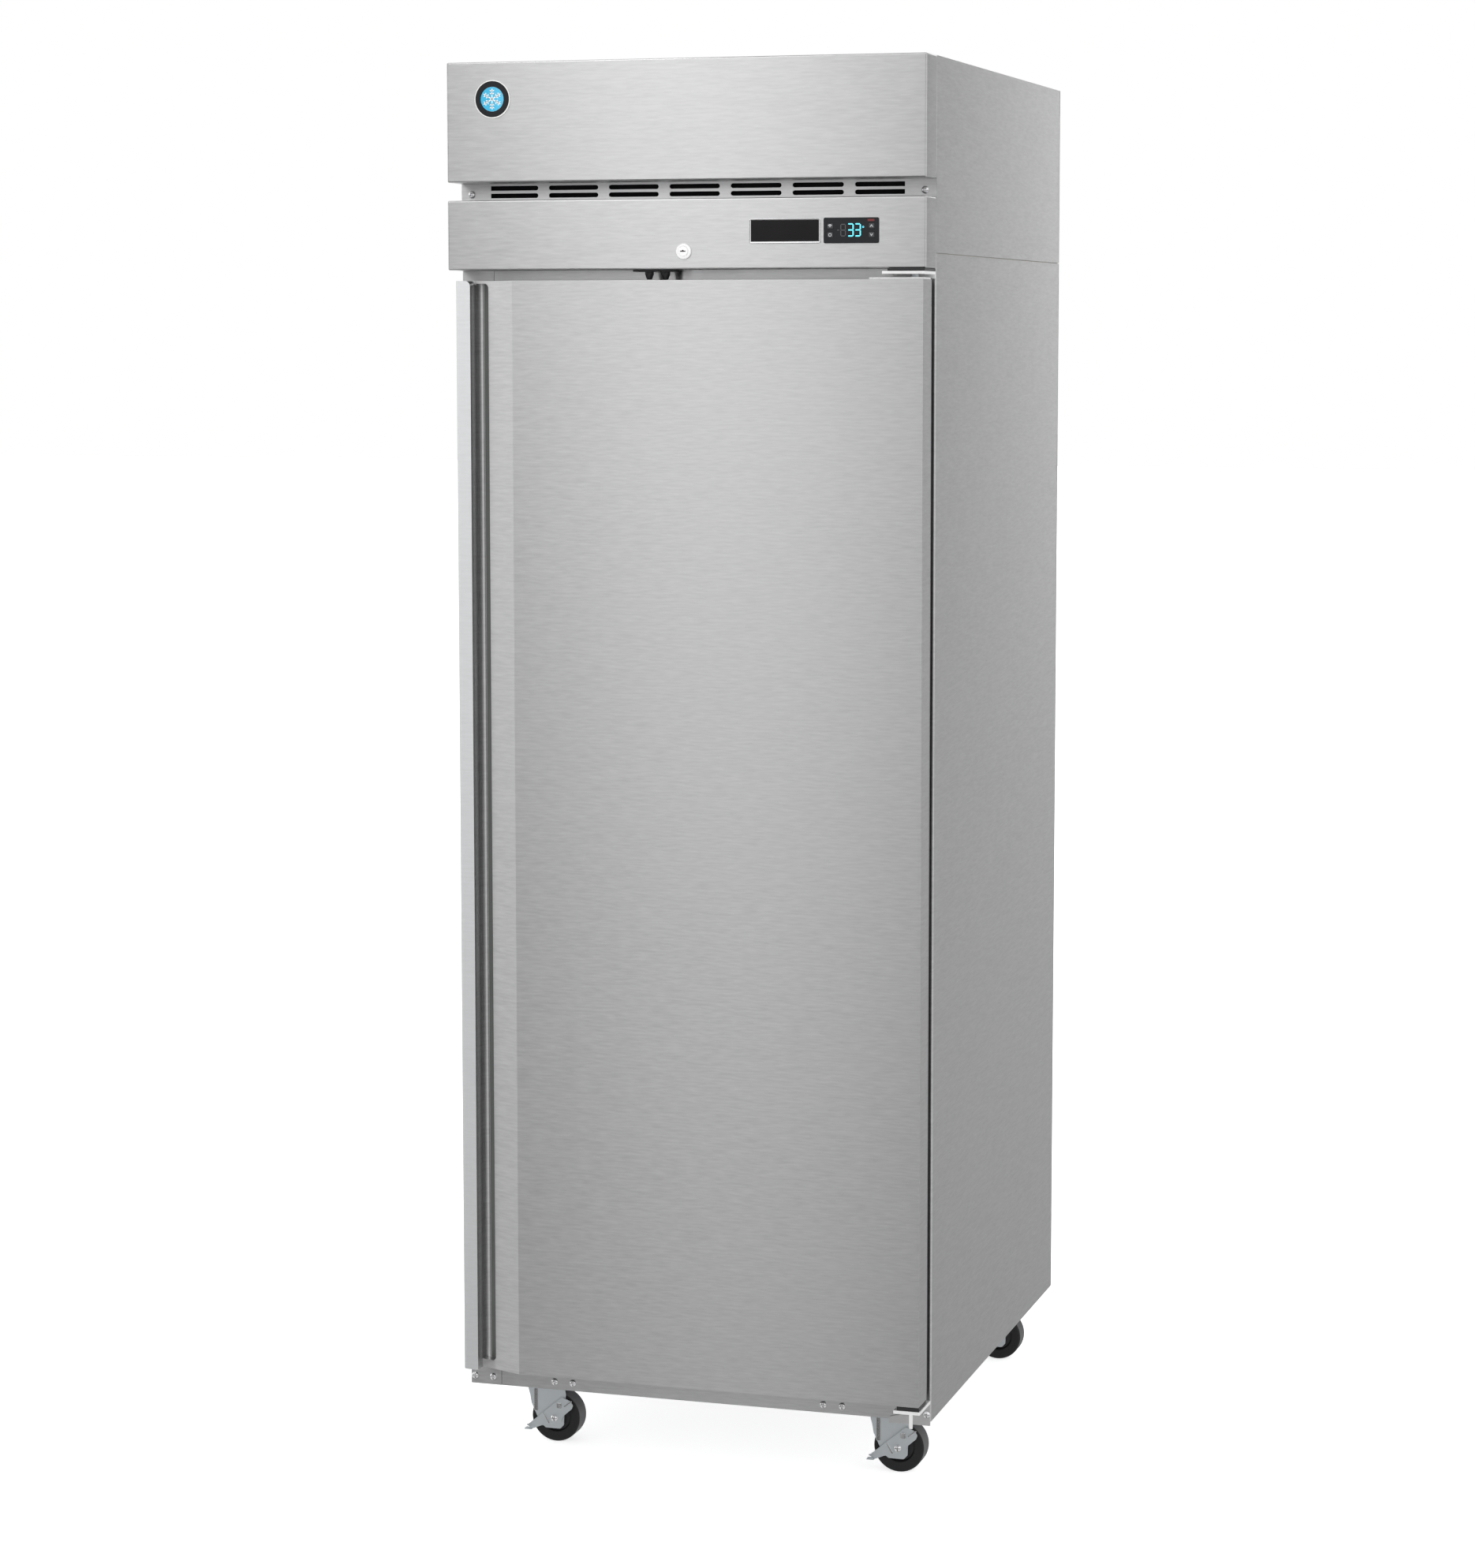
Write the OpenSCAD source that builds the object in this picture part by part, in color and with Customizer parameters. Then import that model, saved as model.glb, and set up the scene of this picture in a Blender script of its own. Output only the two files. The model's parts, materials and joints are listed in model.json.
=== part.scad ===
// Single-door reach-in refrigerator with a top-mounted machine compartment.
// Z is up, the door faces -Y, and the origin is on the floor at the centre of the whole box.
// Inside the modules Y is measured from the front plane of the cabinet body.

/* [Cabinet] */
// Overall width
cabinet_w = 698.5; // [690:0.5:720]
// Depth of the cabinet body, without the door and the front panels
body_d = 798.5; // [760:0.5:820]
// Height of the top edge above the floor
cabinet_top = 2019.5; // [2010:0.5:2040]
// Height of the underside, which is also the height of the casters
base_z = 100; // [99:0.5:101]
// Height of the seam between the cold cabinet and the machine compartment
seam_z = 1750; // [1748:1:1752]
// Thickness of the sheet steel
sheet = 1.5; // [1.2:0.1:1.6]
// Width of the flanges that the side panels fold round the front
flange_w = 48; // [44:1:52]
// Thickness of the insulated side and back walls
wall = 60; // [58:1:62]

/* [Front panels] */
// How far the front panels stand out from the body
panel_proud = 56; // [54:0.5:58]
// Lower edge of the upper front panel
upper_panel_z = 1851.7; // [1850:0.1:1853]
// Lower edge of the vent strip and upper edge of the lower front panel
vent_z = 1826.5; // [1825:0.1:1827]
// Lower edge of the lower front panel
lower_panel_z = 1728.7; // [1728:0.1:1729]
// Length of a vent slot
slot_l = 75; // [60:1:78]
// Height of a vent slot
slot_h = 5.5; // [4:0.5:6]

/* [Door] */
// Lower edge of the door
door_bottom = 138.5; // [138:0.5:139]
// Upper edge of the door
door_top = 1713.7; // [1713:0.1:1714]
// How far the door's face stands out from the body
door_proud = 67; // [65:0.5:69]
// Depth of the recess for the fingers, from the plane of the door's face
pocket_depth = 38; // [34:1:40]
// Width of the lip that the hand pulls
lip_w = 23.4; // [20:0.1:26]

/* [Shelves] */
// Heights of the three shelves above the floor
shelf_heights = [480, 800, 1120]; // [170:10:1500]
// Spacing of the shelf wires
wire_pitch = 27; // [20:1:40]

/* [Casters] */
// Wheel diameter
wheel_dia = 75; // [70:1:76]
// Wheel width
wheel_w = 32; // [28:1:33]
// Offset of the wheel's axle from the swivel's axis
trail = 21; // [16:1:24]
// Distance of the swivel's axis from the cabinet's sides, front and back
caster_inset = 86; // [80:1:90]

/* [Hidden] */

$fn = 32;

fit = 0.05;             // radial clearance of a shaft in its hole
gap = 0.3;              // clearance between neighbouring pieces
screw_proud = 3;        // height of a screw head
half_w = cabinet_w / 2;
total_d = door_proud + body_d + screw_proud;
front_y = door_proud - total_d / 2;    // where the body's front plane lies in the finished frame

// Cold compartment
floor_z = base_z + 72;
ceiling_z = seam_z - 70;
inner_half = half_w - wall;
inner_back = body_d - wall;
liner_t = 1.5;
breaker_w = 12;
breaker_d = 12;
clear_half = inner_half - liner_t;
standard_t = 8;         // depth of a shelf standard
standard_w = 20;
standard_ys = [80, 640];
standard_z = [190, 1555];
shelf_half = clear_half - standard_t - 3;
shelf_y = [42, 682];
frame_r = 3.5;          // radius of the shelf's frame rods
wire_r = 1.8;
clip_h = 12;

// Evaporator
evap_half = 262;
evap_y = [210, 728];
evap_z = [1568, ceiling_z - liner_t - 0.2];
evap_fan_y = 335;
evap_fan_r = 76;
evap_fan_z = 1580;
shaft_r = 3;

// Machine compartment
deck_t = 2;
deck_z = seam_z + deck_t;
cond_x = [-200, 120];
cond_y = [90, 136];
cond_z = [deck_z + 4, 1984];
fan_x = (cond_x[0] + cond_x[1]) / 2;
fan_z = (cond_z[0] + cond_z[1]) / 2;
cond_fan_r = 98;
shroud_y = [136.5, 180];
motor_y = [186, 240];
compressor_at = [130, 450];
compressor_r = 78;
compressor_h = 185;
line_x = [-60, -30];    // where the copper lines go down through the deck, the foam and the liner
line_y = 690;
line_hole_r = 8;
louvre_xs = [-200, 0, 200];
louvre_l = 150;
louvre_z = [1870 : 16 : 1966];
gland_at = [250, 1790];
gland_r = 10;
cord_hole_r = 5.5;

// Door, in plan: right edge, left edge, and the bevel that leads to the grip
door_right = 348;
door_left = -337.4;
lip_y = -door_proud + 5;
lip_round = 8;
lip_x = door_left + lip_w;
bevel_x = -248.7;
bevel_angle = 21;
pocket_x = -290.5;
pocket_y = -door_proud + pocket_depth;
pocket_z = [165, door_top - 4];
shell_back = -21;       // where the steel shell ends and the door's frame begins
frame_back = -4;        // where the door's frame ends
gasket_back = -0.5;     // the gasket just clears the body, so the door can swing
gasket_w = 20;
gasket_x = [-326, 332];
gasket_z = [door_bottom + 8, door_top - 8];
dart_w = 5;
dart_d = 6;
inner_panel_t = 1.5;
inner_panel_x = [door_left + 45.3, door_right - 45.3];
inner_panel_z = [door_bottom + 45.3, door_top - 43.5];

// Door hinge
pin_at = [330, -42];
pin_r = 5;
bush_r = 9;
top_plate_z = [1720.5, 1725];
bottom_plate_z = [126, 131];
cap_plate_t = 2.5;
foot_plate_z = [131.8, door_bottom];

// Lock, display and door switch on the lower front panel
lock_at = [2, 1753.4];
lock_r = 11;
cylinder_r = 7;
bolt_x = [-3, 7];
bolt_y = [-45, -39];
bolt_z = [1731.5, 1741];
bolt_travel = 26;
strike_x = [-5, 57];
display_x = [204, 282.5];
display_z = [1763, 1798];
display_proud = 2;
button_w = 8;
button_h = 7;
button_t = 2.4;
button_spots = [[213.5, 1786.5], [213.5, 1774.5], [272.5, 1786.5], [272.5, 1774.5]];
switch_x = [-77, -18];
peg_xs = [-57, -33];
peg_y = -30;
peg_r = 6.2;
peg_tip_r = 4;
peg_z = [door_top + 1.3, 1722, 1738];

// Casters
wheel_r = wheel_dia / 2;
caster_xs = [-half_w + caster_inset, half_w - caster_inset];
caster_ys = [caster_inset, body_d - caster_inset];
fork_gap = wheel_w / 2 + 1.5;
fork_t = 2.5;
crown_z = [83, 88];
race_z = 96.5;
race_r = 26;
king_r = 6;
axle_r = 5;
lever_t = 2.2;
lever_y = fork_gap + fork_t + gap;

// ---- helpers ----

// Moves cabinet coordinates, with Y from the body's front plane, to the finished frame.
module from_front() {
    translate([0, front_y, 0]) children();
}

// A box given by its lowest and highest x, y and z.
module span(x, y, z) {
    translate([x[0], y[0], z[0]]) cube([x[1] - x[0], y[1] - y[0], z[1] - z[0]]);
}

module both_sides() {
    children();
    mirror([1, 0, 0]) children();
}

// Cylinders along Y and X, from a start point.
module along_y(x, y, z, r) {
    translate([x, y[0], z]) rotate([-90, 0, 0]) cylinder(r = r, h = y[1] - y[0]);
}

module along_x(x, y, z, r) {
    translate([x[0], y, z]) rotate([0, 90, 0]) cylinder(r = r, h = x[1] - x[0]);
}

module upright(x, y, z, r) {
    translate([x, y, z[0]]) cylinder(r = r, h = z[1] - z[0]);
}

// Four straight bars round a rectangle in the XZ plane.
module bar_ring(x, y, z, w) {
    span([x[0], x[1]], y, [z[0], z[0] + w]);
    span([x[0], x[1]], y, [z[1] - w, z[1]]);
    span([x[0], x[0] + w], y, [z[0] + w + 0.1, z[1] - w - 0.1]);
    span([x[1] - w, x[1]], y, [z[0] + w + 0.1, z[1] - w - 0.1]);
}

// A folded sheet box that is open at the back.
module front_box(z) {
    difference() {
        span([-half_w, half_w], [-panel_proud, -gap], z);
        span([-half_w + sheet, half_w - sheet], [-panel_proud + sheet, 1], [z[0] + sheet, z[1] - sheet]);
    }
}

// A slot with round ends, cut along Y.
module slot(x, z, l, h, y) {
    span([x - l / 2 + h / 2, x + l / 2 - h / 2], y, [z - h / 2, z + h / 2]);
    for (s = [-1, 1]) along_y(x + s * (l - h) / 2, y, z, h / 2);
}

// ---- cabinet ----

module side_sheet(z, front_flange, rear_flange) {
    span([half_w - sheet, half_w], [0, body_d - sheet - 0.1], z);
    span([half_w - front_flange, half_w - sheet / 2], [0, sheet], z);
    span([half_w - rear_flange, half_w - sheet / 2], [body_d - 2 * sheet - 0.1, body_d - sheet - 0.1], z);
}

module side_panels() {
    color("silver") from_front() both_sides() side_sheet([base_z, seam_z - 0.5], flange_w, 25);
}

// The front edge is notched where the vent strip passes.
module upper_side_panels() {
    color("silver") from_front() both_sides() difference() {
        side_sheet([seam_z + 0.5, cabinet_top], 18, 25);
        span([half_w - 20, half_w + 1], [-1, sheet + 0.1], [vent_z - 12, upper_panel_z + 10]);
    }
}

module back_panels() {
    back_y = [body_d - sheet, body_d];
    color("lightslategray") from_front() {
        span([-half_w, half_w], back_y, [base_z, seam_z - 0.5]);
        difference() {
            span([-half_w, half_w], back_y, [seam_z + 0.5, cabinet_top]);
            for (x = louvre_xs, z = louvre_z) slot(x, z, louvre_l, slot_h, [body_d - sheet - 1, body_d + 1]);
            along_y(gland_at[0], [body_d - 5, body_d + 1], gland_at[1], gland_r + fit);
        }
    }
}

module base_pan() {
    color("lightslategray") from_front() span(
        [-half_w + sheet + 0.1, half_w - sheet - 0.1],
        [sheet + 0.1, body_d - 2 * sheet - 0.2],
        [base_z, base_z + sheet]);
}

// Header and bottom rail between the side panels' front flanges.
module front_rails() {
    rail_x = [-half_w + flange_w + 0.4, half_w - flange_w - 0.4];
    color("silver") from_front() {
        span(rail_x, [0, sheet], [base_z, floor_z - breaker_w - 0.1]);
        span(rail_x, [0, sheet], [ceiling_z + breaker_w + 0.1, seam_z - 0.5]);
    }
}

module breaker_frame() {
    reach = breaker_w - 0.1;
    color("dimgray") from_front() bar_ring(
        [-inner_half - reach, inner_half + reach], [0, breaker_d],
        [floor_z - reach, ceiling_z + reach], reach);
}

module insulation() {
    foam_x = half_w - sheet - 0.2;
    foam_y = [breaker_d + 0.2, body_d - 2 * sheet - 0.3];
    low = base_z + sheet + 0.2;
    high = seam_z - 0.2;
    color("khaki") from_front() {
        both_sides() span([inner_half + 0.1, foam_x], foam_y, [floor_z, ceiling_z]);
        span([-inner_half, inner_half], [inner_back + 0.1, foam_y[1]], [floor_z, ceiling_z]);
        span([-foam_x, foam_x], foam_y, [low, floor_z - 0.1]);
        difference() {
            span([-foam_x, foam_x], foam_y, [ceiling_z + 0.1, high]);
            line_holes([ceiling_z - 1, high + 1]);
        }
    }
}

module liner() {
    liner_y = [0.2, inner_back - liner_t - 0.1];
    deep = [liner_y[0], inner_back];
    color("gainsboro") from_front() {
        both_sides() span([clear_half, inner_half], liner_y, [floor_z + liner_t + 0.1, ceiling_z - liner_t - 0.1]);
        span([-inner_half, inner_half], [inner_back - liner_t, inner_back],
            [floor_z + liner_t + 0.1, ceiling_z - liner_t - 0.1]);
        span([-inner_half, inner_half], deep, [floor_z, floor_z + liner_t]);
        difference() {
            span([-inner_half, inner_half], deep, [ceiling_z - liner_t, ceiling_z]);
            line_holes([ceiling_z - 5, ceiling_z + 1]);
        }
    }
}

// ---- shelves ----

module shelf_supports() {
    color("gainsboro") from_front() both_sides() for (y = standard_ys) {
        span([clear_half - standard_t, clear_half - 0.1], [y - standard_w / 2, y + standard_w / 2], standard_z);
        for (z = shelf_heights) clip(y, z - 2 * frame_r - 0.2);
    }
}

// A clip hooks into the standard and carries the shelf's frame on its tongue.
module clip(y, z) {
    inner = clear_half - standard_t - 0.1;
    span([inner - 2, inner], [y - 8, y + 8], [z - clip_h, z + 6]);
    span([inner - 12, inner - 1], [y - 8, y + 8], [z - 2, z]);
}

// Square bars along Y and X stand in for the shelf's round wires, which cross too often to blend.
module bar_y(x, y, z, r) {
    span([x - r, x + r], y, [z - r, z + r]);
}

module bar_x(x, y, z, r) {
    span(x, [y - r, y + r], [z - r, z + r]);
}

module shelf(z) {
    rod_z = z - frame_r - 0.1;
    reach = shelf_half - frame_r;
    count = floor(2 * (reach - 10) / wire_pitch);
    color("white") from_front() {
        for (x = [-reach, reach]) bar_y(x, shelf_y, rod_z, frame_r);
        for (y = [shelf_y[0] + 20, 230, 480, shelf_y[1] - 20]) bar_x([-reach, reach], y, rod_z, frame_r);
        for (i = [0 : count])
            bar_y((i - count / 2) * wire_pitch, shelf_y, rod_z + frame_r, wire_r);
    }
}

module shelf_lower() { shelf(shelf_heights[0]); }
module shelf_middle() { shelf(shelf_heights[1]); }
module shelf_upper() { shelf(shelf_heights[2]); }

module interior_lamp() {
    color("white") from_front() {
        span([-110, 110], [60, 100], [evap_z[1] - 8, evap_z[1]]);
        span([-100, 100], [66, 94], [evap_z[1] - 18, evap_z[1] - 8]);
    }
}

// ---- evaporator ----

module evaporator_housing() {
    color("gainsboro") from_front() difference() {
        span([-evap_half, evap_half], evap_y, evap_z);
        span([-evap_half + sheet, evap_half - sheet], [evap_y[0] + sheet, evap_y[1] - sheet],
            [evap_z[0] + sheet, evap_z[1] + 1]);
        upright(0, evap_fan_y, [evap_z[0] - 1, evap_z[0] + 5], evap_fan_r + 5);
        for (x = [-190 : 38 : 190]) span([x - 14, x + 14], [evap_y[1] - 60, evap_y[1] - 20],
            [evap_z[0] - 1, evap_z[0] + 5]);
    }
}

module evaporator_coil() {
    coil_y = [470, 650];
    coil_z = [evap_z[0] + 18, evap_z[1] - 8];
    color("lightsteelblue") from_front() {
        for (x = [-225 : 15 : 225]) span([x - 0.5, x + 0.5], coil_y, coil_z);
        for (y = [500, 560, 620], z = [coil_z[0] + 20, coil_z[1] - 20]) along_x([-240, 240], y, z, 5);
    }
}

module evaporator_fan_motor() {
    color("dimgray") from_front() {
        upright(0, evap_fan_y, [evap_fan_z + 26, evap_fan_z + 66], 28);
        upright(0, evap_fan_y, [evap_fan_z - 2, evap_fan_z + 30], shaft_r);
        span([-evap_half + 3, evap_half - 3], [evap_fan_y - 8, evap_fan_y + 8],
            [evap_fan_z + 62, evap_fan_z + 66]);
    }
}

// Fan with tilted blades, on the Z axis, standing on z = 0.
module fan(r, blades, depth) {
    difference() {
        union() {
            cylinder(r = r * 0.28, h = depth);
            intersection() {
                cylinder(r = r, h = depth);
                for (i = [0 : blades - 1]) rotate([0, 0, i * 360 / blades])
                    translate([r * 0.6, 0, depth / 2]) rotate([28, 0, 0])
                    cube([r, r * 0.62, 2], center = true);
            }
        }
        translate([0, 0, -1]) cylinder(r = shaft_r + fit, h = depth + 2);
    }
}

module evaporator_fan() {
    color("black") from_front() translate([0, evap_fan_y, evap_fan_z]) fan(evap_fan_r, 5, 20);
}

// ---- machine compartment ----

// Holes for the copper lines.
module line_holes(z) {
    for (x = line_x) upright(x, line_y, z, line_hole_r);
}

module machine_deck() {
    color("lightslategray") from_front() difference() {
        span([-half_w + sheet + 0.3, half_w - sheet - 0.3], [2 * sheet + 0.3, body_d - 2 * sheet - 0.3],
            [seam_z, deck_z]);
        line_holes([seam_z - 1, deck_z + 1]);
    }
}

module compressor() {
    pot_z = deck_z + 20;
    color("black") from_front() translate([compressor_at[0], compressor_at[1], 0]) {
        translate([0, 0, pot_z]) rotate_extrude() polygon(concat(
            [[0, 0]],
            [for (a = [-90 : 15 : 0]) [compressor_r - 26 + 26 * cos(a), 26 + 26 * sin(a)]],
            [for (a = [0 : 10 : 90]) [compressor_r * cos(a), compressor_h - 60 + 60 * sin(a)]]));
        span([-95, 95], [-70, 70], [pot_z - 4, pot_z]);
        for (x = [-80, 80], y = [-55, 55]) upright(x, y, [deck_z, pot_z - 4], 12);
        span([compressor_r - 12, compressor_r + 22], [-30, 30], [pot_z + 50, pot_z + 120]);
    }
}

module condenser_coil() {
    color("dimgray") from_front() {
        for (x = [cond_x[0] + 10 : 10 : cond_x[1] - 10]) span([x - 0.5, x + 0.5], cond_y, cond_z);
        for (z = [cond_z[0] + 24 : 36 : cond_z[1] - 12], y = [cond_y[0] + 12, cond_y[1] - 12])
            along_x([cond_x[0], cond_x[1]], y, z, 4);
        for (x = cond_x) span([x - 2, x], cond_y, [deck_z, cond_z[1]]);
    }
}

module condenser_shroud() {
    t = 1.5;
    color("silver") from_front() difference() {
        span([cond_x[0] - 2, cond_x[1]], shroud_y, [deck_z, cond_z[1]]);
        span([cond_x[0] - 2 + t, cond_x[1] - t], [shroud_y[0] - 1, shroud_y[1] - t],
            [deck_z + t, cond_z[1] - t]);
        along_y(fan_x, [shroud_y[0] - 2, shroud_y[1] + 2], fan_z, cond_fan_r + 5);
    }
}

module condenser_fan_motor() {
    color("dimgray") from_front() {
        along_y(fan_x, motor_y, fan_z, 34);
        along_y(fan_x, [motor_y[0] - 30, motor_y[0] + 1], fan_z, shaft_r);
        for (x = [-1, 1]) {
            span([fan_x + x * 30 - 6, fan_x + x * 30 + 6], [motor_y[1] - 8, motor_y[1] - 5], [deck_z, fan_z]);
        }
        span([fan_x - 60, fan_x + 60], [motor_y[1] - 8, motor_y[1] + 14], [deck_z, deck_z + 3]);
    }
}

module condenser_fan() {
    color("black") from_front() translate([fan_x, motor_y[0] - 4, fan_z]) rotate([90, 0, 0])
        fan(cond_fan_r, 5, 24);
}

// A copper line through axis-parallel points, with a ball at each bend.
module copper_line(points, r) {
    for (i = [0 : len(points) - 2]) {
        a = points[i];
        b = points[i + 1];
        lo = [for (k = [0 : 2]) min(a[k], b[k])];
        hi = [for (k = [0 : 2]) max(a[k], b[k])];
        if (lo[0] != hi[0]) along_x([lo[0], hi[0]], a[1], a[2], r);
        if (lo[1] != hi[1]) along_y(a[0], [lo[1], hi[1]], a[2], r);
        if (lo[2] != hi[2]) upright(a[0], a[1], [lo[2], hi[2]], r);
    }
    for (i = [1 : len(points) - 2]) translate(points[i]) sphere(r = r);
}

module refrigerant_lines() {
    side_x = cond_x[1] + 12;
    suction = [[line_x[1], line_y, 1600], [line_x[1], line_y, 1830], [130, line_y, 1830], [130, 540, 1830]];
    liquid = [[line_x[0], line_y, 1620], [line_x[0], line_y, 1800], [-240, line_y, 1800],
        [-240, 112, 1800], [cond_x[0] - 3, 112, 1800]];
    discharge = [[130, 370, 1830], [130, 300, 1830], [190, 300, 1830], [190, 112, 1830],
        [cond_x[1] + 1, 112, 1830]];
    color("peru") from_front() {
        copper_line(suction, 5);
        copper_line(liquid, 3);
        copper_line(discharge, 4);
    }
}

module condensate_pan() {
    pan_x = [-210, -90];
    pan_y = [430, 660];
    pan_z = [deck_z, deck_z + 38];
    color("whitesmoke") from_front() difference() {
        span(pan_x, pan_y, pan_z);
        span([pan_x[0] + 2, pan_x[1] - 2], [pan_y[0] + 2, pan_y[1] - 2], [pan_z[0] + 2, pan_z[1] + 1]);
    }
}

module cord_gland() {
    seat = [body_d - 10, body_d + 2];
    color("black") from_front() difference() {
        union() {
            along_y(gland_at[0], seat, gland_at[1], gland_r);
            along_y(gland_at[0], [body_d, body_d + 2], gland_at[1], gland_r + 3);
            along_y(gland_at[0], [body_d - 8, body_d - sheet], gland_at[1], gland_r + 3);
        }
        along_y(gland_at[0], [seat[0] - 1, seat[1] + 1], gland_at[1], cord_hole_r);
    }
}

// ---- front panels and what they carry ----

module upper_front_panel() {
    color("silver") from_front() front_box([upper_panel_z, cabinet_top]);
}

module vent_panel() {
    rows = [upper_panel_z - 6.3, vent_z + 8.3];
    color("silver") from_front() difference() {
        span([-half_w, half_w], [0, sheet], [vent_z - 11.8, upper_panel_z + 9.8]);
        for (i = [-3 : 3], z = rows) slot(i * 90, z, slot_l, slot_h, [-1, sheet + 1]);
    }
}

module lower_front_panel() {
    bottom = [lower_panel_z - 1, lower_panel_z + sheet + 1];
    color("silver") from_front() difference() {
        front_box([lower_panel_z, vent_z]);
        along_y(lock_at[0], [-panel_proud - 1, -panel_proud + 3], lock_at[1], lock_r - 1 + fit);
        span([display_x[0] + 3, display_x[1] - 3], [-panel_proud - 1, -panel_proud + 3],
            [display_z[0] + 3, display_z[1] - 3]);
        span([switch_x[0] + 4, switch_x[1] - 4], [peg_y - 10, peg_y + 10], bottom);
        span([bolt_x[0] - 1, bolt_x[1] + 1], [bolt_y[0] - 1, bolt_y[1] + 1], bottom);
    }
}

// A plain ring badge and a blank nameplate.
module badges() {
    face = -panel_proud;
    color("gainsboro") from_front() {
        along_y(-280, [face - 2.5, face], 1967.5, 25.5);
        span([97, 200], [face - 1.6, face], [1763.4, 1797.8]);
    }
}

module display_housing() {
    face = -panel_proud - display_proud;
    color("black") from_front() difference() {
        union() {
            span(display_x, [face, -panel_proud], display_z);
            span([display_x[0] + 3.2, display_x[1] - 3.2], [-panel_proud, -panel_proud + 40],
                [display_z[0] + 3.2, display_z[1] - 3.2]);
        }
        for (p = button_spots) span([p[0] - button_w / 2 - gap, p[0] + button_w / 2 + gap],
            [face - 1, face + 5], [p[1] - button_h / 2 - gap, p[1] + button_h / 2 + gap]);
    }
}

module button(i) {
    p = button_spots[i];
    face = -panel_proud - display_proud;
    color("dimgray") from_front() span([p[0] - button_w / 2, p[0] + button_w / 2],
        [face - 0.4, face - 0.4 + button_t], [p[1] - button_h / 2, p[1] + button_h / 2]);
}

module button_light() { button(0); }
module button_defrost() { button(1); }
module button_up() { button(2); }
module button_down() { button(3); }

module lock_housing() {
    face = -panel_proud;
    color("white") from_front() difference() {
        union() {
            along_y(lock_at[0], [face - 3, face], lock_at[1], lock_r);
            along_y(lock_at[0], [face, face + 22], lock_at[1], lock_r - 1);
        }
        along_y(lock_at[0], [face - 4, face + 23], lock_at[1], cylinder_r + fit);
    }
}

module lock_cylinder() {
    face = -panel_proud;
    color("lightgray") from_front() difference() {
        along_y(lock_at[0], [face - 5, face + 26], lock_at[1], cylinder_r);
        span([lock_at[0] - 4.5, lock_at[0] + 4.5], [face - 6, face + 2], [lock_at[1] - 0.8, lock_at[1] + 0.8]);
    }
}

module lock_bolt() {
    color("lightgray") from_front() span(bolt_x, bolt_y, bolt_z);
}

module switch_housing() {
    color("black") from_front() difference() {
        union() {
            span(switch_x, [peg_y - 14, peg_y + 14], [lower_panel_z - 3, lower_panel_z]);
            span([switch_x[0] + 5, switch_x[1] - 5], [peg_y - 9, peg_y + 9],
                [lower_panel_z, lower_panel_z + 20]);
        }
        for (x = peg_xs) upright(x, peg_y, [lower_panel_z - 5, lower_panel_z + 18], peg_r + fit);
    }
}

// A tapered peg that the door's top pushes up against a spring.
module plunger(x) {
    color("black") from_front() {
        upright(x, peg_y, [peg_z[1], peg_z[2]], peg_r);
        translate([x, peg_y, peg_z[0]]) cylinder(r1 = peg_tip_r, r2 = peg_r, h = peg_z[1] - peg_z[0]);
    }
}

module plunger_left() { plunger(peg_xs[0]); }
module plunger_right() { plunger(peg_xs[1]); }

// ---- door hinge on the cabinet ----

module hinge_brackets() {
    right = half_w - 0.5;
    front = -62;
    color("whitesmoke") from_front() {
        span([288, right], [front, -0.1], top_plate_z);
        span([288, right], [-2.6, -0.1], [door_top + 1.3, top_plate_z[0]]);
        upright(pin_at[0], pin_at[1], [door_top - 12, top_plate_z[0] + 1], pin_r);
        span([310, right], [front, -0.1], bottom_plate_z);
        translate([0, -0.1, 0]) rotate([90, 0, 0]) linear_extrude(height = 2.9) polygon([
            [289, base_z - 5.5], [right, base_z - 5.5], [right, bottom_plate_z[0]],
            [312, bottom_plate_z[0]], [305, base_z + 8], [289, base_z + 4]]);
        span([333, 338], [front, front + 2.5], [bottom_plate_z[0] - 20, bottom_plate_z[0]]);
        upright(pin_at[0], pin_at[1], [bottom_plate_z[1] - 1, door_bottom + 12], pin_r);
    }
    color("black") from_front() span([296, right], [front, -1], [top_plate_z[1] + 0.1, lower_panel_z - 0.2]);
}

// ---- fasteners ----

// A domed screw head on the XZ plane, facing -Y, and its shank into the panel.
module screw_head(x, y, z, r = 4.5) {
    translate([x, y, z]) rotate([90, 0, 0]) intersection() {
        translate([0, 0, screw_proud - 5.2]) sphere(r = 5.2);
        cylinder(r = r, h = screw_proud);
    }
}

module cabinet_screws() {
    low = base_z + 12;
    color("gainsboro") from_front() {
        for (x = [-342, -314, -217.8, -189.8, 190.6, 218.6]) screw_head(x, 0, low);
        screw_head(344, -3, low - 1, 4.2);
        for (x = [-333.5, 333.5]) screw_head(x, 0, vent_z + 10.2);
        for (x = [-half_w + 12, half_w - 12], z = [seam_z - 15, 1330, 940, 908, 520, base_z + 14])
            translate([x, body_d, 0]) rotate([0, 0, 180]) screw_head(0, 0, z);
    }
}

// ---- door ----

// Height of the bevel's line above the body's front plane at x, moved inwards by t.
function bevel_y(x, t) = -door_proud + t / cos(bevel_angle) + (bevel_x - x) * tan(bevel_angle);

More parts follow.
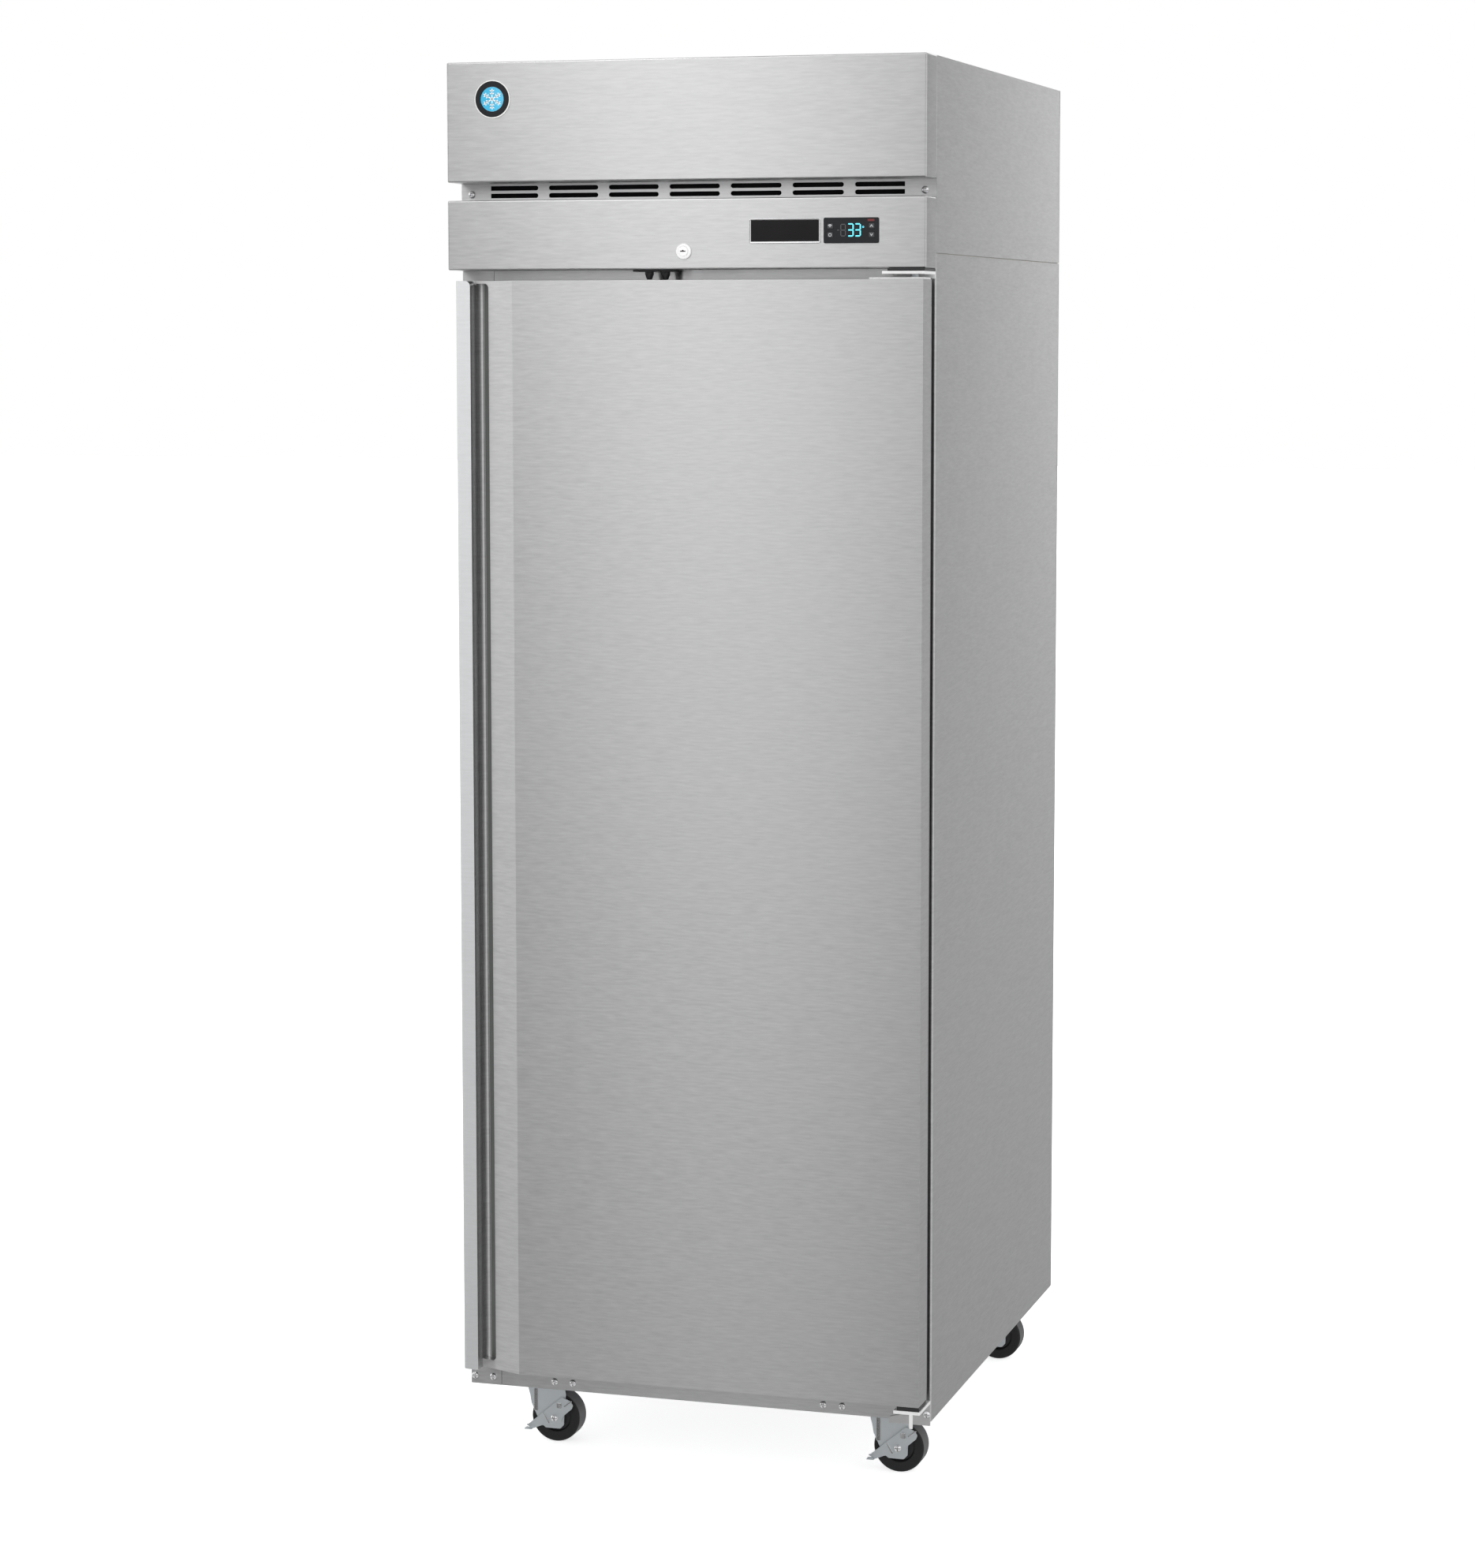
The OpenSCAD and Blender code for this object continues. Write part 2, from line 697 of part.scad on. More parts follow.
// Plan outline of the door, moved inwards by t. The bevel ends at the lip's inner wall.
function door_outline(t, back) = concat(
    [[door_right - t, back], [door_right - t, -door_proud + t]],
    [[bevel_x + t * tan(bevel_angle / 2), -door_proud + t]],
    [[lip_x - t, bevel_y(lip_x - t, t)], [lip_x - t, lip_y + t]],
    [for (a = [270 : -15 : 180])
        [door_left + lip_round + (lip_round - t) * cos(a), lip_y + lip_round + (lip_round - t) * sin(a)]],
    [[door_left + t, back]]);

// The door's solid shape, moved inwards by t on every side but the back, with the finger pocket.
module door_block(t, back) {
    difference() {
        translate([0, 0, door_bottom + t]) linear_extrude(height = door_top - door_bottom - 2 * t)
            polygon(door_outline(t, back));
        span([lip_x - t, pocket_x + t], [-door_proud - 1, pocket_y + t], [pocket_z[0] - t, pocket_z[1] + t]);
    }
}

module hinge_bores(r) {
    upright(pin_at[0], pin_at[1], [door_bottom - 12, door_bottom + 20], r);
    upright(pin_at[0], pin_at[1], [door_top - 20, door_top + 4], r);
}

module strike_slot(z, grow) {
    span([strike_x[0] - grow, strike_x[1] + grow], [bolt_y[0] - 1.5 - grow, bolt_y[1] + 1.5 + grow], z);
}

module door_shell() {
    color("silver") from_front() difference() {
        door_block(0, shell_back);
        door_block(sheet, shell_back + 5);
        hinge_bores(bush_r + 0.1);
        strike_slot([door_top - 5, door_top + 1], 0);
    }
}

module door_insulation() {
    color("khaki") from_front() {
        span(inner_panel_x, [shell_back, frame_back - inner_panel_t - 3.1], inner_panel_z);
        shell_foam();
    }
}

// The foam inside the steel shell, with room for the hinge bushes and the lock's bolt.
module shell_foam() {
    difference() {
        door_block(sheet + 0.2, shell_back - 0.2);
        for (z = [door_bottom - 1, door_top - 24])
            span([pin_at[0] - 14, pin_at[0] + 20], [pin_at[1] - 14, pin_at[1] + 14], [z, z + 25]);
        strike_slot([door_top - 22, door_top + 1], 1);
    }
}

module door_frame() {
    frame_x = [door_left + 3, door_right - 3];
    frame_z = [door_bottom + 3, door_top - 1.2];
    color("black") from_front() difference() {
        bar_ring(frame_x, [shell_back, frame_back], frame_z, 42);
        gasket_groove(0.1);
    }
}

// The ring-shaped groove in the door's frame that holds the gasket's dart.
module gasket_groove(grow) {
    inset = (gasket_w - dart_w) / 2 - grow;
    bar_ring([gasket_x[0] + inset, gasket_x[1] - inset], [frame_back - dart_d - grow, frame_back + 0.01],
        [gasket_z[0] + inset, gasket_z[1] - inset], dart_w + 2 * grow);
}

module door_gasket() {
    color("dimgray") from_front() {
        bar_ring(gasket_x, [frame_back, gasket_back], gasket_z, gasket_w);
        gasket_groove(0);
    }
}

module door_inner_panel() {
    color("gainsboro") from_front()
        span(inner_panel_x, [frame_back - inner_panel_t - 3, frame_back - 3], inner_panel_z);
}

module door_hinge_fittings() {
    color("whitesmoke") from_front() {
        difference() {
            union() {
                span([270, door_right - 1], [-62, shell_back - 1], [door_top, door_top + cap_plate_t]);
                upright(pin_at[0], pin_at[1], [door_top - 16, door_top + 0.5], bush_r);
            }
            upright(pin_at[0], pin_at[1], [door_top - 14, door_top + 4], pin_r + fit);
        }
        difference() {
            union() {
                span([315, door_right - 0.5], [-62, shell_back - 1], foot_plate_z);
                upright(pin_at[0], pin_at[1], [door_bottom - 0.5, door_bottom + 16], bush_r);
            }
            upright(pin_at[0], pin_at[1], [foot_plate_z[0] - 1, door_bottom + 14], pin_r + fit);
        }
    }
}

// ---- casters ----

module at_caster(ix, iy) {
    from_front() translate([caster_xs[ix], caster_ys[iy], 0]) children();
}

module caster_plates() {
    color("lightsteelblue") for (ix = [0, 1], iy = [0, 1]) at_caster(ix, iy) {
        span([-48, 48], [-38, 38], [race_z + 0.5, base_z - 0.1]);
        upright(0, 0, [crown_z[0] + 1, race_z + 1], king_r);
    }
}

// Outline of a fork's cheek, in the XZ plane, with the swivel's axis at x = 0.
cheek = [[-22, 83], [-18, 69], [-16, 57], [-7, 37.6], [0, 26], [6.6, 20.8], [29.3, 20.8], [34.9, 27],
    [36, 55], [38, 72], [36, 83]];

module fork() {
    difference() {
        union() {
            for (s = [-1, 1]) translate([0, s * (fork_gap + fork_t / 2) + fork_t / 2, 0])
                rotate([90, 0, 0]) linear_extrude(height = fork_t) polygon(cheek);
            span([-22, 36], [-fork_gap - fork_t, fork_gap + fork_t], crown_z);
            upright(0, 0, [crown_z[0], race_z], race_r);
        }
        upright(0, 0, [crown_z[0] - 1, race_z + 1], king_r + fit);
    }
    along_y(trail, [-lever_y - lever_t - 1, lever_y + 3], wheel_r, axle_r);
    along_y(trail, [-lever_y - lever_t - 4, -lever_y - lever_t - 0.6], wheel_r, axle_r + 2.5);
    along_y(trail, [lever_y + 0.2, lever_y + 4], wheel_r, axle_r + 2.5);
}

module caster_fork_front_left() { color("lightsteelblue") at_caster(0, 0) fork(); }
module caster_fork_front_right() { color("lightsteelblue") at_caster(1, 0) fork(); }
module caster_fork_rear_left() { color("lightsteelblue") at_caster(0, 1) fork(); }
module caster_fork_rear_right() { color("lightsteelblue") at_caster(1, 1) fork(); }

// Wheel profile: radius against distance across the wheel, with a hub, a web and a rounded tread.
module wheel() {
    half = wheel_w / 2;
    edge = 3;
    translate([trail, 0, wheel_r]) rotate([90, 0, 0]) rotate_extrude() polygon(concat(
        [[axle_r + fit, -half - 1], [14, -half - 1], [15, -half + 3], [20, -half + 3], [22, -half]],
        [for (a = [-90 : 15 : 0]) [wheel_r - edge + edge * cos(a), -half + edge + edge * sin(a)]],
        [for (a = [0 : 15 : 90]) [wheel_r - edge + edge * cos(a), half - edge + edge * sin(a)]],
        [[22, half], [20, half - 3], [15, half - 3], [14, half + 1], [axle_r + fit, half + 1]]));
}

module caster_wheel_front_left() { color("black") at_caster(0, 0) wheel(); }
module caster_wheel_front_right() { color("black") at_caster(1, 0) wheel(); }
module caster_wheel_rear_left() { color("black") at_caster(0, 1) wheel(); }
module caster_wheel_rear_right() { color("black") at_caster(1, 1) wheel(); }

// A brake lever across the fork's front cheek, turning on the axle bolt.
module brake_lever() {
    outline = [[-24, 24], [-20, 25], [2, 43.5], [33, 69.5], [46, 64], [50, 58], [48, 52.5], [35, 41],
        [31, 31], [20, 26.5], [1, 24.5], [-13, 18.5]];
    translate([0, -lever_y, 0]) rotate([90, 0, 0]) difference() {
        linear_extrude(height = lever_t) polygon(outline);
        translate([trail, wheel_r, -1]) cylinder(r = axle_r + fit, h = lever_t + 2);
    }
    span([-24, -13], [-lever_y - 9, -lever_y], [18.5, 20.5]);
}

module brake_lever_left() { color("lightsteelblue") at_caster(0, 0) brake_lever(); }
module brake_lever_right() { color("lightsteelblue") at_caster(1, 0) brake_lever(); }

side_panels();
upper_side_panels();
back_panels();
base_pan();
front_rails();
breaker_frame();
insulation();
liner();
shelf_supports();
shelf_lower();
shelf_middle();
shelf_upper();
interior_lamp();
evaporator_housing();
evaporator_coil();
evaporator_fan_motor();
machine_deck();
compressor();
condenser_coil();
condenser_shroud();
condenser_fan_motor();
refrigerant_lines();
condensate_pan();
upper_front_panel();
vent_panel();
lower_front_panel();
badges();
display_housing();
lock_housing();
switch_housing();
hinge_brackets();
cabinet_screws();
cord_gland();
caster_plates();
door_shell();
door_insulation();
door_frame();
door_inner_panel();
door_gasket();
door_hinge_fittings();
caster_fork_front_left();
caster_fork_front_right();
caster_fork_rear_left();
caster_fork_rear_right();
caster_wheel_front_left();
caster_wheel_front_right();
caster_wheel_rear_left();
caster_wheel_rear_right();
brake_lever_left();
brake_lever_right();
button_light();
button_defrost();
button_up();
button_down();
lock_cylinder();
lock_bolt();
plunger_left();
plunger_right();
evaporator_fan();
condenser_fan();
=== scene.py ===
"""Looks of the single-door reach-in refrigerator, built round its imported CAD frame."""

import json
import math
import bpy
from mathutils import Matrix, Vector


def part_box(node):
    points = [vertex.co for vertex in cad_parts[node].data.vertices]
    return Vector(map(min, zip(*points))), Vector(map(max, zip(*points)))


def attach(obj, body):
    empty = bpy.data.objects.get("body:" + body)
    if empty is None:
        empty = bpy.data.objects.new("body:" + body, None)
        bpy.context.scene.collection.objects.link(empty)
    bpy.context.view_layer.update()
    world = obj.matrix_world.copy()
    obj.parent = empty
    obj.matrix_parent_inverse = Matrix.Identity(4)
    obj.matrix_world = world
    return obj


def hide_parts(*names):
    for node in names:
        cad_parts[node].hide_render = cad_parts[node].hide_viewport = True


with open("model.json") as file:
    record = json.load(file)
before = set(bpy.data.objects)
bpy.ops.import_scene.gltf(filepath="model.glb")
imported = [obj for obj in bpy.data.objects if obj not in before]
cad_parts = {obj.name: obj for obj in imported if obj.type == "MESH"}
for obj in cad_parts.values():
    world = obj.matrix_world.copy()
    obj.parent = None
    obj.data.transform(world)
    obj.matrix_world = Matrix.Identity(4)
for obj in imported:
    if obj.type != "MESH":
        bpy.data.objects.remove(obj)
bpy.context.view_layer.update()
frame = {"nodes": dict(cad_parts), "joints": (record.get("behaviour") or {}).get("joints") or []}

from types import SimpleNamespace

import bmesh
import bpy
from mathutils import Matrix, Vector

# ---- places: cabinet millimetres, with y from the front plane of the cabinet body ----

MM = 0.001
FRONT_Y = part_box("side_panels")[0].y
TO_FRAME = Matrix.Translation((0, FRONT_Y, 0)) @ Matrix.Scale(MM, 4)


def cad(node):
    """The box of a CAD node in cabinet millimetres."""
    lo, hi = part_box(node)
    xs = (lo.x / MM, hi.x / MM)
    ys = ((lo.y - FRONT_Y) / MM, (hi.y - FRONT_Y) / MM)
    zs = (lo.z / MM, hi.z / MM)
    x, y, z = (sum(span) / 2 for span in (xs, ys, zs))
    return SimpleNamespace(x0=xs[0], x1=xs[1], y0=ys[0], y1=ys[1], z0=zs[0], z1=zs[1],
                           xs=xs, ys=ys, zs=zs, x=x, y=y, z=z)


def wider(span, by):
    """A pair of numbers moved apart."""
    return span[0] - by, span[1] + by


def about(middle, half):
    """A pair of numbers either side of a middle."""
    return middle - half, middle + half


SIDES = cad("side_panels")
DOOR = cad("door_shell")
UPPER = cad("upper_front_panel")
LOWER = cad("lower_front_panel")
VENT = cad("vent_panel")
BACK = cad("back_panels")
HALF_W = SIDES.x1
SHEET = 1.5
FOLD = 2.2
WHOLE = 2 * math.pi

# ---- mesh helpers, in cabinet millimetres ----


def face_loop(bm, rings, closed=False):
    """Joins successive rings of vertices with quads."""
    pairs = list(zip(rings, rings[1:]))
    if closed:
        pairs.append((rings[-1], rings[0]))
    for a, b in pairs:
        count = max(len(a), len(b))
        for i in range(count):
            j = (i + 1) % count
            corners = [a[i % len(a)], a[j % len(a)], b[j % len(b)], b[i % len(b)]]
            unique = [v for k, v in enumerate(corners) if v not in corners[:k]]
            if len(unique) > 2:
                bm.faces.new(unique)


def add_box(bm, x, y, z):
    corners = [bm.verts.new((x[i & 1], y[i >> 1 & 1], z[i >> 2])) for i in range(8)]
    for face in ((0, 2, 3, 1), (4, 5, 7, 6), (0, 1, 5, 4), (2, 6, 7, 3), (0, 4, 6, 2), (1, 3, 7, 5)):
        bm.faces.new([corners[i] for i in face])


def add_prism(bm, outline, lo, hi, axis="Z"):
    """An outline pushed from lo to hi. The outline is in XY for Z, XZ for Y and YZ for X."""
    place = {
        "Z": lambda u, v, w: (u, v, w),
        "Y": lambda u, v, w: (u, w, v),
        "X": lambda u, v, w: (w, u, v),
    }[axis]
    rings = [[bm.verts.new(place(p[0], p[1], w)) for p in outline] for w in (lo, hi)]
    face_loop(bm, rings)
    bm.faces.new(rings[0])
    bm.faces.new(rings[1])


def add_lathe(bm, profile, place, steps=48, closed=False):
    """Turns a profile of (radius, height) round the Z axis of place."""
    rings = []
    for radius, height in profile:
        if radius == 0:
            rings.append([bm.verts.new(place @ Vector((0, 0, height)))])
            continue
        circle = disc(0, 0, radius, steps)
        rings.append([bm.verts.new(place @ Vector((*point, height))) for point in circle])
    face_loop(bm, rings, closed)
    if not closed:
        for ring in (rings[0], rings[-1]):
            if len(ring) > 1:
                bm.faces.new(ring)


def add_tube(bm, points, radius, sides=12):
    """A round bar along a line of points."""
    points = [Vector(p) for p in points]
    side = None
    rings = []
    for i, p in enumerate(points):
        ahead = points[min(i + 1, len(points) - 1)] - p
        behind = p - points[max(i - 1, 0)]
        along = (ahead.normalized() + behind.normalized()).normalized()
        if side is None:
            side = along.orthogonal().normalized()
        side = (side - along * side.dot(along)).normalized()
        other = along.cross(side)
        rings.append([bm.verts.new(p + radius * (side * math.cos(a) + other * math.sin(a)))
                      for a in turns(sides, WHOLE)[:-1]])
    face_loop(bm, rings)
    bm.faces.new(rings[0])
    bm.faces.new(rings[-1])


def add_ring(bm, rect, radius, profile, steps=6):
    """Sweeps a closed profile of (outward, y) round a rounded rectangle (x0, x1, z0, z1)."""
    x0, x1, z0, z1 = rect
    corners = ((x1, z1, 0), (x0, z1, 1), (x0, z0, 2), (x1, z0, 3))
    rings = []
    for cx, cz, quarter in corners:
        centre = Vector((cx - math.copysign(radius, cx - (x0 + x1) / 2), 0,
                         cz - math.copysign(radius, cz - (z0 + z1) / 2)))
        for i in range(steps + 1):
            a = math.pi / 2 * (quarter + i / steps)
            outward = Vector((math.cos(a), 0, math.sin(a)))
            rings.append([bm.verts.new(centre + outward * (radius + o) + Vector((0, y, 0)))
                          for o, y in profile])
    face_loop(bm, rings, closed=True)


def fillet(points, radius, steps=5):
    """A line of points with its corners rounded."""
    points = [Vector(p).to_3d() for p in points]
    line = [points[0]]
    for a, b, c in zip(points, points[1:], points[2:]):
        u = (a - b).normalized()
        v = (c - b).normalized()
        if u.dot(v) < -0.9999:
            line.append(b)
            continue
        half = u.angle(v) / 2
        reach = min(radius / math.tan(half), (a - b).length * 0.49, (c - b).length * 0.49)
        r = reach * math.tan(half)
        centre = b + (u + v).normalized() * (r / math.sin(half))
        start = (b + u * reach - centre).normalized()
        end = (b + v * reach - centre).normalized()
        line += [centre + r * start.slerp(end, i / steps) for i in range(steps + 1)]
    return line + [points[-1]]


def folded(points, thickness):
    """Outline of a folded sheet whose outer face follows the points, with the metal on their left."""
    outer = fillet(points, FOLD, 4)
    inner = []
    for i, p in enumerate(outer):
        ahead = (outer[min(i + 1, len(outer) - 1)] - p).normalized()
        behind = (p - outer[max(i - 1, 0)]).normalized()
        along = (ahead + behind).normalized()
        inner.append(p + Vector((-along.y, along.x, 0)) * thickness)
    return [(p.x, p.y) for p in outer + inner[::-1]]


def turns(steps, whole=math.pi / 2):
    """Angles in equal steps, over a quarter turn unless whole says otherwise."""
    return [whole * i / steps for i in range(steps + 1)]


def arc(x, z, r, angles, high=None):
    """Points round a centre, on a circle or, with high, on an ellipse."""
    high = r if high is None else high
    return [(x + r * math.cos(a), z + high * math.sin(a)) for a in angles]


def rounded_rect(x0, x1, z0, z1, radius, steps=5):
    corners = ((x1 - radius, z1 - radius, 0), (x0 + radius, z1 - radius, 1),
               (x0 + radius, z0 + radius, 2), (x1 - radius, z0 + radius, 3))
    spots = [(cx, cz, math.pi / 2 * (q + i / steps)) for cx, cz, q in corners for i in range(steps + 1)]
    return [(cx + radius * math.cos(a), cz + radius * math.sin(a)) for cx, cz, a in spots]


def disc(x, z, radius, steps=32):
    return arc(x, z, radius, turns(steps, WHOLE)[:-1])


def facing_front(x, y, z):
    """Places a lathe so that its height grows towards the viewer in front."""
    return Matrix.Translation((x, y, z)) @ Matrix.Rotation(math.pi / 2, 4, "X")


def facing_back(x, y, z):
    return Matrix.Translation((x, y, z)) @ Matrix.Rotation(-math.pi / 2, 4, "X")


def upright(x, y, z):
    return Matrix.Translation((x, y, z))


def make(name, build):
    """An object in cabinet millimetres from a function that fills a bmesh."""
    bm = bmesh.new()
    build(bm)
    bmesh.ops.recalc_face_normals(bm, faces=bm.faces)
    mesh = bpy.data.meshes.new(name)
    bm.to_mesh(mesh)
    bm.free()
    made = bpy.data.objects.new(name, mesh)
    bpy.context.scene.collection.objects.link(made)
    return made


def apply_modifiers(made):
    """Puts the result of an object's modifiers into its mesh."""
    graph = bpy.context.evaluated_depsgraph_get()
    mesh = bpy.data.meshes.new_from_object(made.evaluated_get(graph))
    old = made.data
    made.modifiers.clear()
    made.data = mesh
    bpy.data.meshes.remove(old)
    return made


def bevel(made, width, segments=3, angle=30):
    """Rounds the edges that turn by more than an angle."""
    modifier = made.modifiers.new("bevel", "BEVEL")
    modifier.width = width
    modifier.segments = segments
    modifier.limit_method = "ANGLE"
    modifier.angle_limit = math.radians(angle)
    return apply_modifiers(made)


def cut_with(made, cutter, operation="DIFFERENCE"):
    """Takes one object out of another, or keeps what both share. The cutter is used up."""
    modifier = made.modifiers.new("cut", "BOOLEAN")
    modifier.operation = operation
    modifier.solver = "EXACT"
    modifier.object = cutter
    apply_modifiers(made)
    mesh = cutter.data
    bpy.data.objects.remove(cutter)
    bpy.data.meshes.remove(mesh)
    return made


def cut(made, build):
    """Takes the shape that build draws out of an object."""
    return cut_with(made, make("cutter", build))


def dress(made, body, material, *replaces, slot=None, sharp=38):
    """Moves a made object into the frame, shades it and rides it on its body. Its slot is not used."""
    made.data.transform(TO_FRAME)
    bm = bmesh.new()
    bm.from_mesh(made.data)
    for f in bm.faces:
        f.smooth = True
    for e in bm.edges:
        e.smooth = len(e.link_faces) == 2 and e.calc_face_angle(0) < math.radians(sharp)
    bm.to_mesh(made.data)
    bm.free()
    modifier = made.modifiers.new("normals", "WEIGHTED_NORMAL")
    modifier.keep_sharp = True
    made.data.materials.clear()
    made.data.materials.append(material)
    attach(made, body)
    if replaces:
        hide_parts(*replaces)
    return made


def piece(name, body, material, build, *replaces, edge=None, slot=None):
    """A whole piece: made, its edges rounded by edge (width and segments) and dressed."""
    made = make(name, build)
    if edge:
        bevel(made, *edge)
    return dress(made, body, material, *replaces, slot=slot)


def paint_faces(made, material, wanted):
    """Gives a second material to the faces that wanted(centre in cabinet mm, normal) picks."""
    made.data.materials.append(material)
    to_cabinet = TO_FRAME.inverted()
    for face in made.data.polygons:
        if wanted(to_cabinet @ face.center, face.normal):
            face.material_index = len(made.data.materials) - 1


def boxes(*spans):
    """A builder for several boxes, each three pairs of numbers."""
    return lambda bm: [add_box(bm, *span) for span in spans]


def prism(outline, lo, hi, axis="Z"):
    """A builder for one prism."""
    return lambda bm: add_prism(bm, outline, lo, hi, axis)


def lathe(profile, place, steps=48, closed=False):
    """A builder for one turned shape."""
    return lambda bm: add_lathe(bm, profile, place, steps, closed)


# ---- materials ----


class Paint:
    """A procedural material under construction."""

    def __init__(self, name, metallic=0.0, roughness=0.5, specular=0.5):
        self.material = bpy.data.materials.new(name)
        self.material.use_nodes = True
        self.tree = self.material.node_tree
        self.bsdf = self.tree.nodes["Principled BSDF"]
        self.bsdf.inputs["Metallic"].default_value = metallic
        self.bsdf.inputs["Roughness"].default_value = roughness
        self.bsdf.inputs["Specular IOR Level"].default_value = specular
        self.place = self.tree.nodes.new("ShaderNodeTexCoord").outputs["Object"]

    def add(self, kind, links=(), **values):
        made = self.tree.nodes.new(kind)
        for key, value in values.items():
            setattr(made, key, value)
        for socket, value in links:
            if isinstance(value, bpy.types.NodeSocket):
                self.tree.links.new(value, made.inputs[socket])
            else:
                made.inputs[socket].default_value = value
        return made

    def scaled(self, scale):
        mapping = self.add("ShaderNodeMapping", [("Vector", self.place), ("Scale", scale)])
        return mapping.outputs["Vector"]

    def noise(self, scale, detail=3.0, roughness=0.55):
        made = self.add("ShaderNodeTexNoise", [
            ("Vector", self.scaled(scale)), ("Scale", 1.0), ("Detail", detail), ("Roughness", roughness)])
        return made.outputs["Fac"]

    def cells(self, scale):
        return self.add("ShaderNodeTexVoronoi", [("Vector", self.scaled((scale,) * 3)), ("Scale", 1.0)])

    def range(self, value, low, high, start=0.3, end=0.7):
        made = self.add("ShaderNodeMapRange", [
            ("Value", value), ("From Min", start), ("From Max", end), ("To Min", low), ("To Max", high)])
        return made.outputs["Result"]

    def blend(self, factor, first, second):
        made = self.add("ShaderNodeMix", data_type="RGBA")
        for socket, value in ((0, factor), (6, first), (7, second)):
            if isinstance(value, bpy.types.NodeSocket):
                self.tree.links.new(value, made.inputs[socket])
            else:
                made.inputs[socket].default_value = (*value, 1.0) if socket else value
        return made.outputs[2]

    def sum(self, first, second, weight):
        scaled = self.add("ShaderNodeMath", [(0, second), (1, weight)], operation="MULTIPLY")
        made = self.add("ShaderNodeMath", [(0, first), (1, scaled.outputs[0])], operation="ADD")
        return made.outputs[0]

    def into(self, socket, value):
        self.tree.links.new(value, self.bsdf.inputs[socket])

    def bump(self, height, strength, distance=0.001):
        made = self.add("ShaderNodeBump",
                        [("Height", height), ("Strength", strength), ("Distance", distance)])
        self.into("Normal", made.outputs["Normal"])


def grey(level, tint=(1.0, 1.0, 1.0)):
    return tuple(level * t for t in tint)


def brushed(name, level, roughness, grain=0.085):
    """Steel brushed level, with fine streaks and a highlight stretched across them."""
    p = Paint(name, metallic=1.0)
    tint = (1.0, 1.0, 1.005)
    fine = p.noise((44, 44, 330), 2.0, 0.5)
    long = p.noise((18, 18, 140), 2.0)
    cloud = p.noise((1.4, 1.4, 1.8), 2.0)
    streak = p.sum(fine, long, 0.4)
    colour = p.blend(p.range(streak, 0.0, 1.0, 0.45, 0.95), grey(level * (1 - grain), tint),
                     grey(level * (1 + grain), tint))
    p.into("Base Color", p.blend(p.range(cloud, 0.0, 0.25), colour, grey(level * 1.04, tint)))
    p.into("Roughness", p.range(streak, roughness * 0.96, roughness * 1.04, 0.45, 0.95))
    p.bsdf.inputs["Anisotropic"].default_value = 0.9
    p.bsdf.inputs["Anisotropic Rotation"].default_value = 0.25
    tangent = p.add("ShaderNodeTangent", direction_type="RADIAL", axis="Z")
    p.into("Tangent", tangent.outputs["Tangent"])
    return p.material


def galvanised(name, level, roughness):
    """Zinc-coated sheet with the crystal pattern of the hot dip."""
    p = Paint(name, metallic=0.95)
    flakes = p.cells(75)
    shade = p.add("ShaderNodeSeparateColor", [("Color", flakes.outputs["Color"])]).outputs[0]
    haze = p.noise((6, 6, 6), 4.0)
    colour = p.blend(shade, grey(level * 0.84, (0.99, 1.0, 1.02)), grey(level * 1.08, (0.99, 1.0, 1.02)))
    p.into("Base Color", p.blend(p.range(haze, 0.0, 0.3), colour, grey(level * 0.9)))
    p.into("Roughness", p.range(shade, roughness * 0.85, roughness * 1.2, 0.0, 1.0))
    p.bump(shade, 0.05, 0.0003)
    return p.material


def metal(name, colour, roughness, wear=0.12, metallic=1.0):
    """Plated or cast metal with a slightly uneven tone."""
    p = Paint(name, metallic=metallic)
    haze = p.noise((18, 18, 18), 4.0)
    fine = p.noise((720,) * 3, 3.0)
    darker = tuple(c * (1 - wear) for c in colour)
    p.into("Base Color", p.blend(p.range(haze, 0.0, 1.0), colour, darker))
    p.into("Roughness", p.range(haze, roughness * 0.85, roughness * 1.25))
    p.bump(fine, 0.05, 0.0003)
    return p.material


def plastic(name, colour, roughness, grain=1400, bump=0.08, fade=0.1, coat=0.0, specular=0.5):
    """Moulded plastic or paint with a fine texture."""
    p = Paint(name, roughness=roughness, specular=specular)
    haze = p.noise((14, 14, 14), 3.0)
    fine = p.noise((grain,) * 3, 2.0)
    p.into("Base Color", p.blend(p.range(haze, 0.0, 1.0), colour, tuple(c * (1 - fade) for c in colour)))
    p.into("Roughness", p.range(haze, roughness * 0.88, min(1.0, roughness * 1.15)))
    p.bump(fine, bump, 0.0002)
    p.bsdf.inputs["Coat Weight"].default_value = coat
    p.bsdf.inputs["Coat Roughness"].default_value = 0.08
    return p.material


def painted_reflection_satin(name, low, high, roughness):
    """Satin steel with a painted reflection: its colour is lighter with height, standing in for the room
    that it reflects.
    """
    p = Paint(name, roughness=roughness)
    height = p.add("ShaderNodeSeparateXYZ", [("Vector", p.place)]).outputs["Z"]
    fine = p.noise((40, 40, 300), 2.0)
    # Painted reflection: the base colour blends from low at the door's foot to high at its top.
    tone = p.blend(p.range(height, 0.0, 1.0, DOOR.z0 * MM, DOOR.z1 * MM), low, high)
    p.into("Base Color", p.blend(p.range(fine, 0.0, 0.06), tone, (0.0, 0.0, 0.0)))
    p.into("Roughness", p.range(fine, roughness * 0.95, roughness * 1.05))
    return p.material


def foam(name):
    """Foam with open cells."""
    p = Paint(name, roughness=0.9, specular=0.2)
    cells = p.cells(900)
    haze = p.noise((9, 9, 9), 4.0)
    p.into("Base Color", p.blend(p.range(haze, 0.0, 1.0), (0.78, 0.66, 0.38), (0.66, 0.53, 0.27)))
    p.bump(cells.outputs["Distance"], 0.5, 0.0008)
    return p.material


